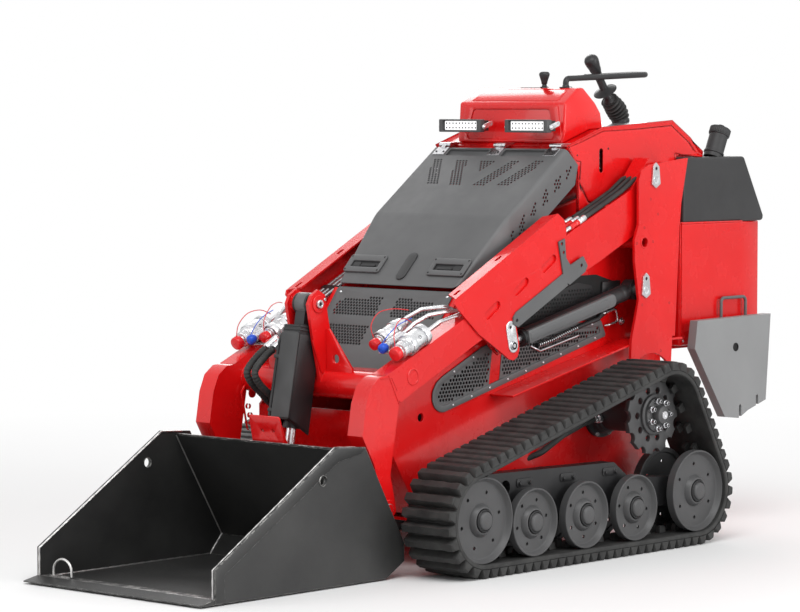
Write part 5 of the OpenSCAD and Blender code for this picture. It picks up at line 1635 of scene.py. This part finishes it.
class LOADER_OT_lift_cylinders(bpy.types.Operator):
    """Adds the covers and collars of the lift cylinders, and the fittings of the chassis' side walls"""
    bl_idname = "loader.lift_cylinders"
    bl_label = "Lift cylinders"

    def execute(self, context):
        r = context.scene.loader_cylinders.cover / MM
        d = (ROD_PIN - BASE_PIN).normalized()
        for sign, side_name in ((1, "left"), (-1, "right")):
            form = Form()
            # the first axis runs from the lower pin towards the rod's pin
            place = basis((sign * LIFT_X, *BASE_PIN), (0, d.x, d.y),
                          (0, -sign * d.y, sign * d.x), (sign, 0, 0))
            cover = [Vector((104 + r, 0)) + polar(r, math.pi / 2 + math.pi * k / 14) for k in range(15)]
            cover += [Vector((512, -r)), Vector((512, r))]
            form.slab(cover, place, 12, 27.5, "grey_paint", bevel=4.5)
            form.slab(rectangle(140, -r * 0.55, 505, r * 0.55), place, 27, 28.4, "grey_paint", bevel=1)
            axis = pointing((sign * LIFT_X, *BASE_PIN), (0, d.x, d.y))
            for w0, big in ((506, 25.5), (514, 24), (521, 25.5)):
                ring = ((14, 0), (big, 0), (big + 0.8, 1), (big + 0.8, 4), (big, 5), (14, 5))
                form.turned([(r0, w0 + w) for r0, w in ring], axis, "black_paint", 36)
            form.turned([(16, 28), (22, 30), (24.6, 40), (24.6, 60), (24, 62)], axis, "black_paint", 36)
            form.piece("lift_cover_" + side_name, "lift_barrel_" + side_name[0], "grey_paint", angle=36)
        self.chassis_fittings()
        return {"FINISHED"}

    def chassis_fittings(self):
        """A patch of painted shadow with a mesh, a round cover, a rod, a spring and a hook on the chassis' side
        walls.
        """
        form = Form()
        wall = side(WALL)
        # Painted shadow: a near-black sheet on the wall behind the mesh.
        form.slab(WALL_SHADE, wall, 0.3, 1.2, "shadow")
        form.slab(inset(MESH_ZONE, -8), wall, 1.4, 2.8, "black_paint", holes_in(MESH_ZONE, 13, 4))
        form.block([(346, 700), (436, 704), (436, 770), (352, 768)], wall, 0.4, 9, "black_paint", 3)
        form.turned([(30, 0), (30, 11), (27, 12.4), (0, 12.4)], outward(WALL, 400, 722), "black_paint", 32)
        form.tube(rounded(off_wall(WALL_ROD), 12, 5, closed=False), 3.4, "steel", 10)
        coil = fine(off_wall(WALL_SPRING), 1.5)
        form.tube(coil, lambda s: 6.2 + (1.3 if s % 8 < 4 else 0), "plastic", 12)
        for k in range(6, 126, 6):
            form.turned([(7.6, -1.4), (8.2, -0.8), (8.2, 0.8), (7.6, 1.4)],
                        pointing(coil[k], coil[k + 2] - coil[k]), "steel", 14)
        form.tube(rounded(off_wall(WALL_HOOK), 9, 5, closed=False), 3.2, "bright", 10)
        form.bolt(outward(WALL + 1, 448, 646), "bright", 8, 9)
        form.mirrored().piece("chassis_fittings", "root", "black_paint", angle=40)


class LOADER_OT_tilt_cylinder(bpy.types.Operator):
    """Adds the tilt cylinder's folded cover with its ribbed collar and the black tube beside it"""
    bl_idname = "loader.tilt_cylinder"
    bl_label = "Tilt cylinder"

    def execute(self, context):
        form = Form()
        d = (LINK_PIN - TILT_PIN).normalized()
        along, back = Vector((0, d.x, d.y)), Vector((0, -d.y, d.x))
        origin = Vector((0, *TILT_PIN))
        front = basis(origin, (-1, 0, 0), along, -back)
        lid = rounded([(-32.5, 84), (32.5, 84), (34, 200), (34, 326), (-34, 326), (-34, 200)],
                      (9, 9, 0, 3, 3, 0), 4)
        form.slab(lid, front @ Matrix.Rotation(0.018, 4, "X"), 44.2, 48.6, "dark_grey_paint", bevel=1.8)
        flank = rounded([(88, -44), (326, -49), (360, 36), (92, 36)], (4, 3, 6, 10), 3)
        for x in (31.2, -33.0):
            form.slab(flank, basis(origin + Vector((x, 0, 0)), along, back, (1, 0, 0)), 0, 1.8,
                      "black_paint", bevel=0.6)
        across = basis(origin, (-1, 0, 0), back, along)
        for t0, t1, w, n in ((64, 70, 32, 48), (74, 80, 33, 49)):
            form.block(rectangle(-w, -n, w, 28, 6), across, t0, t1, "black_paint", 1.8, 2)
        form.block(rectangle(-29, -44, 29, 26, 5), across, 69, 86, "black_paint", 1, 1)
        form.turned([(29.6, -19), (30.6, -17.5), (30.6, 17.5), (29.6, 19)], outward(*origin),
                    "grey_paint", 44)
        r = context.scene.loader_cylinders.tube / MM / 2
        route = [origin + Vector((x, 0, 0)) + along * s + back * t
                 for x, s, t in ((-30, 88, -30), (-44, 90, -34), (-48, 118, -38), (-47, 322, -44))]
        form.tube(rounded(route, 18, 6, closed=False), r, "black_paint", 14)
        clip = basis(origin, (1, 0, 0), back, -along)
        for s in (150, 300):
            form.block(rectangle(-54, -50, -30, -36, 2, 2), clip, -s - 10, -s, "plastic", 1)
        form.piece("tilt_cover", "tilt_barrel", "grey_paint", angle=36)
        return {"FINISHED"}


class LOADER_OT_foot(bpy.types.Operator):
    """Adds the red bracket ahead of the tilt cylinder's foot, the pins' collars and the wrapped hoses"""
    bl_idname = "loader.foot"
    bl_label = "Quick attach"

    def execute(self, context):
        form = Form()
        plate = slope(PLATE_LOW, PLATE_HIGH)
        form.slab(rounded([(-47, 0), (76, 0), (74, 105), (-43, 105)], (1, 1, 9, 3), 4), plate, -3, 3,
                  "red_paint", [circle((1, 62), 5.2, 18), circle((42, 63), 5.2, 18)], bevel=1.8)
        for x in (-46, 70):
            form.slab([(-797, 338), (-778, 338), (-800, 380), (-812, 408)], side(x), 0, 5,
                      "red_paint", bevel=1.4)
        rows = Form()
        for sign in (1, -1):
            rows.turned(rectangle(16, -6, 22, 2), pointing((sign * 42, *LINK_PIN), (sign, 0, 0)), "steel", 24)
        form.piece("foot_bracket", "bucket", "red_paint", angle=36)
        rows.piece("attach_pins", "bucket", "steel", angle=36)
        self.front_hoses(context.scene.loader_cylinders.wrap / MM / 2)
        return {"FINISHED"}

    def front_hoses(self, r):
        """Two wrapped hoses that hang from the cross tube and run back to it, on the arms."""
        form = Form()
        for shift in (0, WRAP_SHIFT):
            points = smooth([Vector((x + shift, y, z)) for x, y, z in WRAP_LINE], 22)
            form.tube(points, lambda s: r * (1 if s % 9 < 5 else 0.9), "rubber", 16)
            back = points[0] - points[1]
            sleeve, end = [pointing(points[0] + back.normalized() * out, back) for out in (8, 38)]
            form.turned([(0, -4), (9, -4), (11.5, -2), (11.5, 14), (9.5, 15), (9.5, 18), (11.5, 19),
                         (11.5, 32), (0, 32)], sleeve, "bright", 20)
            form.nut(end, 11.5, 0, 14, "bright")
            form.rod(pointing((-96 + shift, -598, 474), (0, 0.35, 0.94)), 9, 0, 16, "bright", 18)
        form.block(rectangle(-134, -668, -64, -588), plan(598), 0, 34, "red_paint", 4)
        form.block(rectangle(-128, -660, -70, -600), plan(551), 0, 48, "red_paint", 3)
        form.piece("front_hoses", "arms", "rubber", angle=40)


# ---------------------------------------------------------------- bucket

BUCKET_FRONT, BUCKET_FLOOR = -1338.0, 12.0
BACK_LOW, BACK_HIGH = (-643.0, 65.0), (-822.0, 362.0)   # inside of the bucket's back
FLOOR_END = (-690.0, 12.0)
BUCKET_HOLE = (-933, 292)
# The strip along the slanted top edge and the front edge of a side plate, [y, z]
SIDE_STRIP = [(-1336, 6), (-1302, 6), (-1302, 78), (-900, 322), (-872, 338), (-786, 352), (-769, 368),
              (-880, 376), (-1336, 95)]
LOOP_X = -262       # middle of the lifting loop


class LOADER_PG_bucket(bpy.types.PropertyGroup):
    bead: FloatProperty(name="Weld bead", description="Radius of the weld beads in the bucket",
                        default=0.0032, unit="LENGTH")
    doubler: FloatProperty(name="Doubler", description="Thickness of the strips on the bucket's side plates",
                           default=0.0016, unit="LENGTH")


class LOADER_OT_bucket(bpy.types.Operator):
    """Adds the weld beads, the cutting edge, the side strips and the lifting loop of the bucket"""
    bl_idname = "loader.bucket"
    bl_label = "Bucket"

    def execute(self, context):
        sizes = context.scene.loader_bucket
        bead, doubler = sizes.bead / MM, sizes.doubler / MM
        w = reach("bucket")[1].x
        form = Form()
        inner = w - 8
        for path in (((BUCKET_FRONT + 2, BUCKET_FLOOR), FLOOR_END, BACK_LOW, BACK_HIGH),
                     ((BUCKET_FRONT + 1, 14), (BUCKET_FRONT + 1, 93), (-881, 375.5), (-800, 371))):
            self.bead(form, [(inner, *p) for p in path], bead, "weld")
        form.slab(SIDE_STRIP, side(w), -0.3, doubler, "bucket", [circle(BUCKET_HOLE, 13.4, 24)], bevel=0.7)
        form.turned([(13.2, -0.2), (13.2, doubler + 0.9), (14.4, doubler + 1.4), (15.6, doubler - 0.2)],
                    outward(w, *BUCKET_HOLE), "bucket", 28)
        form.turned([(13.2, -0.2), (13.2, 0.9), (14.4, 1.4), (15.6, -0.2)],
                    pointing((inner, *BUCKET_HOLE), (-1, 0, 0)), "bucket", 28)
        form.mirrored()
        self.edge(form, w, bead)
        self.bead(form, [(-inner, *FLOOR_END), (inner, *FLOOR_END)], bead * 0.5, "bucket")
        self.bead(form, [(-inner, *BACK_LOW), (inner, *BACK_LOW)], bead * 0.5, "bucket")
        form.slab(rectangle(-inner + 1, -824, inner - 1, -814), plan(365), -1, 1.6, "worn_edge", bevel=0.7)
        form.piece("bucket_fittings", "bucket", "black_paint", angle=44)
        return {"FINISHED"}

    def bead(self, form, path, r, look):
        """A weld: a bar of small overlapping drops along a path."""
        form.tube(fine(path, 2.2) + [path[-1]],
                  lambda d: r * (0.82 + 0.2 * abs(math.sin(d * 0.62)) + 0.1 * math.sin(d * 0.17)), look, 8)

    def edge(self, form, w, bead):
        """The cutting edge with its short welds, and the lifting loop on its plate."""
        lip = [(-1387, 4.2), (-1338, 4.2), (-1300, 12), (-1300, 17.5), (-1334, 17.5), (-1386, 7.6)]
        form.block(lip, side(), -w + 0.5, w - 0.5, "worn_edge", 0.9, 2)
        for k in range(-3, 4):
            self.bead(form, [(k * 92 - 26, -1299, 13.4), (k * 92 + 26, -1299, 13.4)], bead * 0.8, "weld")
        arch = [(36 * math.cos(a), 16 + 32 * math.sin(a))
                for a in [math.pi * (1 - k / 12) for k in range(1, 12)]]
        loop = [(-36, -2), (-36, 14)] + arch + [(36, 14), (36, -2)]
        form.tube([(LOOP_X + x, -1318, 18 + z) for x, z in loop], 3.6, "weld", 10)
        form.block(rectangle(-306, -1326, -218, -1310, 2), plan(16.5), 0, 4.5, "worn_edge", 1)


# ---------------------------------------------------------------- finish and stage

# Radius of the rounded edges of the nodes that are carried over, in millimetres
ROUNDED = {"chassis": 2.0, "towers": 2.2, "tower_pins": 0.8, "track_beams": 3.0, "engine": 4.0,
           "fenders": 1.5, "deck_plate": 0.8, "rear_box": 5.0, "fuel_tank": 14.0, "rear_plates": 1.6,
           "arms": 3.5, "arm_panels": 2.0, "arm_brackets": 1.2, "arm_pins": 1.0, "tilt_barrel": 1.6,
           "bucket": 1.4, "quick_attach": 2.0, "hood_hinges": 0.5, "hood_leaves": 0.5}

# Finishes of the nodes that differ from the record's slot
LOOKS = {"bucket": "bucket", "tilt_barrel": "black_paint", "lift_barrel_left": "black_paint",
         "lift_barrel_right": "black_paint"}


class LOADER_OT_finishes(bpy.types.Operator):
    """Gives every piece of the frame its own finish and smooth round faces"""
    bl_idname = "loader.finishes"
    bl_label = "Finishes"

    def execute(self, context):
        slots = {part["node"]: part["material_slot"] for part in frame["record"]["subparts"]}
        for node, obj in NODES.items():
            look = LOOKS.get(node, slots[node])
            obj.data.materials.clear()
            obj.data.materials.append(finish_for(look))
            for face in obj.data.polygons:
                face.use_smooth = True
            if node in ROUNDED:
                self.round_edges(obj, ROUNDED[node] * MM)
            else:
                obj.data.set_sharp_from_angle(angle=math.radians(28))
        return {"FINISHED"}

    def round_edges(self, obj, width):
        """Joins the flat faces and rounds the sharp edges, without touching the mesh itself."""
        obj.modifiers.new("weld", "WELD").merge_threshold = 0.02 * MM
        flat = obj.modifiers.new("flat faces", "DECIMATE")
        flat.decimate_type = "DISSOLVE"
        flat.angle_limit = math.radians(1.5)
        bevel = obj.modifiers.new("rounded edges", "BEVEL")
        bevel.width = width
        bevel.segments = 3
        bevel.limit_method = "ANGLE"
        bevel.angle_limit = math.radians(32)
        bevel.use_clamp_overlap = True
        even = obj.modifiers.new("even shading", "WEIGHTED_NORMAL")
        even.keep_sharp = False
        even.weight = 90


class LOADER_PG_stage(bpy.types.PropertyGroup):
    azimuth: FloatProperty(name="Azimuth", description="Camera's angle round the machine, from its front",
                           default=math.radians(42.28), subtype="ANGLE")
    elevation: FloatProperty(name="Elevation", description="Camera's height angle",
                             default=math.radians(3.51), subtype="ANGLE")
    distance: FloatProperty(name="Distance", description="Camera to the point it looks at", default=9.672,
                            unit="LENGTH")
    aim: FloatVectorProperty(name="Aim", description="Point that the camera looks at", size=3,
                             default=(0.0, -0.1184, 0.7133), subtype="XYZ")
    lens: FloatProperty(name="Lens", description="Focal length on a 36 mm sensor, in millimetres",
                        default=151.73)
    floor: FloatVectorProperty(name="Floor colour", description="Colour of the floor", size=3,
                               default=(0.86, 0.86, 0.86), subtype="COLOR")


AMBIENT = 0.5       # the world's strength as a light
# Soft lights: name, place from the point that the camera looks at, width and height, power
LAMPS = (("key", (2.6, -2.2, 4.2), (4.0, 3.0), 185),
         ("front", (-2.5, -5.5, 1.6), (3.0, 3.0), 55),
         ("side", (5.5, 1.8, 1.4), (2.6, 3.0), 130),
         ("back", (-3.5, 4.0, 3.2), (3.0, 3.0), 110))


def area_light(name, place, aim, size, power):
    """A white rectangular light that points at a place."""
    data = bpy.data.lights.new(name, "AREA")
    data.shape = "RECTANGLE"
    data.size, data.size_y = size
    data.energy = power
    lamp = bpy.data.objects.new(name, data)
    lamp.location = place
    lamp.rotation_euler = (Vector(aim) - Vector(place)).to_track_quat("-Z", "Y").to_euler()
    bpy.context.scene.collection.objects.link(lamp)


class LOADER_OT_stage(bpy.types.Operator):
    """Sets the camera, the soft lights, the world and the pale floor"""
    bl_idname = "loader.stage"
    bl_label = "Stage"

    def execute(self, context):
        scene = context.scene
        stage = scene.loader_stage
        scene.view_settings.view_transform = "Standard"
        camera = bpy.data.objects.new("camera", bpy.data.cameras.new("camera"))
        camera.data.lens = stage.lens
        camera.data.clip_end = 100
        a, e = stage.azimuth, stage.elevation
        out = Vector((math.sin(a) * math.cos(e), -math.cos(a) * math.cos(e), math.sin(e)))
        camera.location = Vector(stage.aim) + out * stage.distance
        camera.rotation_euler = (-out).to_track_quat("-Z", "Y").to_euler()
        scene.collection.objects.link(camera)
        scene.camera = camera
        middle = Vector(stage.aim)
        for name, offset, size, power in LAMPS:
            area_light(name, middle + Vector(offset), middle, size, power)
        self.world(scene)
        self.floor(stage)
        return {"FINISHED"}

    def world(self, scene):
        """White to the camera and in reflections, softer as a light."""
        world = bpy.data.worlds.new("studio")
        world.use_nodes = True
        tree = world.node_tree
        back = tree.nodes["Background"]
        back.inputs["Color"].default_value = (1, 1, 1, 1)
        path = tree.nodes.new("ShaderNodeLightPath")
        rays = tree.nodes.new("ShaderNodeMath")
        rays.operation = "MAXIMUM"
        tree.links.new(path.outputs["Is Camera Ray"], rays.inputs[0])
        tree.links.new(path.outputs["Is Transmission Ray"], rays.inputs[1])
        mirrored = tree.nodes.new("ShaderNodeMath")
        mirrored.operation = "MAXIMUM"
        tree.links.new(rays.outputs[0], mirrored.inputs[0])
        tree.links.new(path.outputs["Is Glossy Ray"], mirrored.inputs[1])
        strength = tree.nodes.new("ShaderNodeMapRange")
        strength.inputs["To Min"].default_value = AMBIENT
        strength.inputs["To Max"].default_value = 1.0
        tree.links.new(mirrored.outputs[0], strength.inputs["Value"])
        tree.links.new(strength.outputs["Result"], back.inputs["Strength"])
        scene.world = world

    def floor(self, stage):
        """A wide disc that fades to white away from the machine."""
        mesh = bpy.data.meshes.new("floor")
        bm = bmesh.new()
        bmesh.ops.create_circle(bm, cap_ends=True, segments=64, radius=40)
        bm.to_mesh(mesh)
        bm.free()
        floor = bpy.data.objects.new("floor", mesh)
        floor.location.z = -1.0 * MM
        bpy.context.scene.collection.objects.link(floor)
        s = Shader("pale_floor")
        s.set(Base_Color=tuple(stage.floor), Roughness=0.7, Specular_IOR_Level=0.2)
        length = s.node("ShaderNodeVectorMath", operation="LENGTH")
        s.link(s.place, length.inputs[0])
        far = s.span(length.outputs["Value"], 0.0, 1.0, 1.6, 4.5)
        path = s.node("ShaderNodeLightPath")
        seen = s.node("ShaderNodeMath", operation="MULTIPLY")
        s.link(far, seen.inputs[0])
        s.link(path.outputs["Is Camera Ray"], seen.inputs[1])
        white = s.node("ShaderNodeEmission")
        both = s.node("ShaderNodeMixShader")
        s.link(seen.outputs[0], both.inputs[0])
        s.link(s.bsdf.outputs[0], both.inputs[1])
        s.link(white.outputs[0], both.inputs[2])
        s.link(both.outputs[0], s.tree.nodes["Material Output"].inputs["Surface"])
        mesh.materials.append(s.material)


GROUPS = (("loader_tracks", LOADER_PG_tracks),
          ("loader_hood", LOADER_PG_hood),
          ("loader_grilles", LOADER_PG_grilles),
          ("loader_controls", LOADER_PG_controls),
          ("loader_rear", LOADER_PG_rear),
          ("loader_arms", LOADER_PG_arms),
          ("loader_cylinders", LOADER_PG_cylinders),
          ("loader_bucket", LOADER_PG_bucket),
          ("loader_stage", LOADER_PG_stage))
STEPS = (LOADER_OT_stage, LOADER_OT_finishes, LOADER_OT_tracks, LOADER_OT_wheels, LOADER_OT_sprockets,
         LOADER_OT_beams, LOADER_OT_hood, LOADER_OT_grilles, LOADER_OT_body, LOADER_OT_console,
         LOADER_OT_lamps, LOADER_OT_controls, LOADER_OT_caps, LOADER_OT_box, LOADER_OT_towers,
         LOADER_OT_hydraulics, LOADER_OT_front, LOADER_OT_lift_cylinders, LOADER_OT_tilt_cylinder,
         LOADER_OT_foot, LOADER_OT_bucket)


class LOADER_PT_panel(bpy.types.Panel):
    """Lists the steps that dress the loader"""
    bl_idname = "LOADER_PT_panel"
    bl_label = "Mini skid steer loader"
    bl_space_type = "VIEW_3D"
    bl_region_type = "UI"
    bl_category = "Loader"

    def draw(self, context):
        for step in STEPS:
            self.layout.operator(step.bl_idname)
        for name, group in GROUPS:
            box = self.layout.box()
            for prop in group.__annotations__:
                box.prop(getattr(context.scene, name), prop)


def register():
    for name, group in GROUPS:
        bpy.utils.register_class(group)
        setattr(bpy.types.Scene, name, PointerProperty(type=group))
    for step in STEPS:
        bpy.utils.register_class(step)
    bpy.utils.register_class(LOADER_PT_panel)


def unregister():
    bpy.utils.unregister_class(LOADER_PT_panel)
    for step in reversed(STEPS):
        bpy.utils.unregister_class(step)
    for name, group in reversed(GROUPS):
        delattr(bpy.types.Scene, name)
        bpy.utils.unregister_class(group)


def main():
    register()
    for step in STEPS:
        group, name = step.bl_idname.split(".")
        getattr(getattr(bpy.ops, group), name)()


if __name__ == "__main__":
    main()
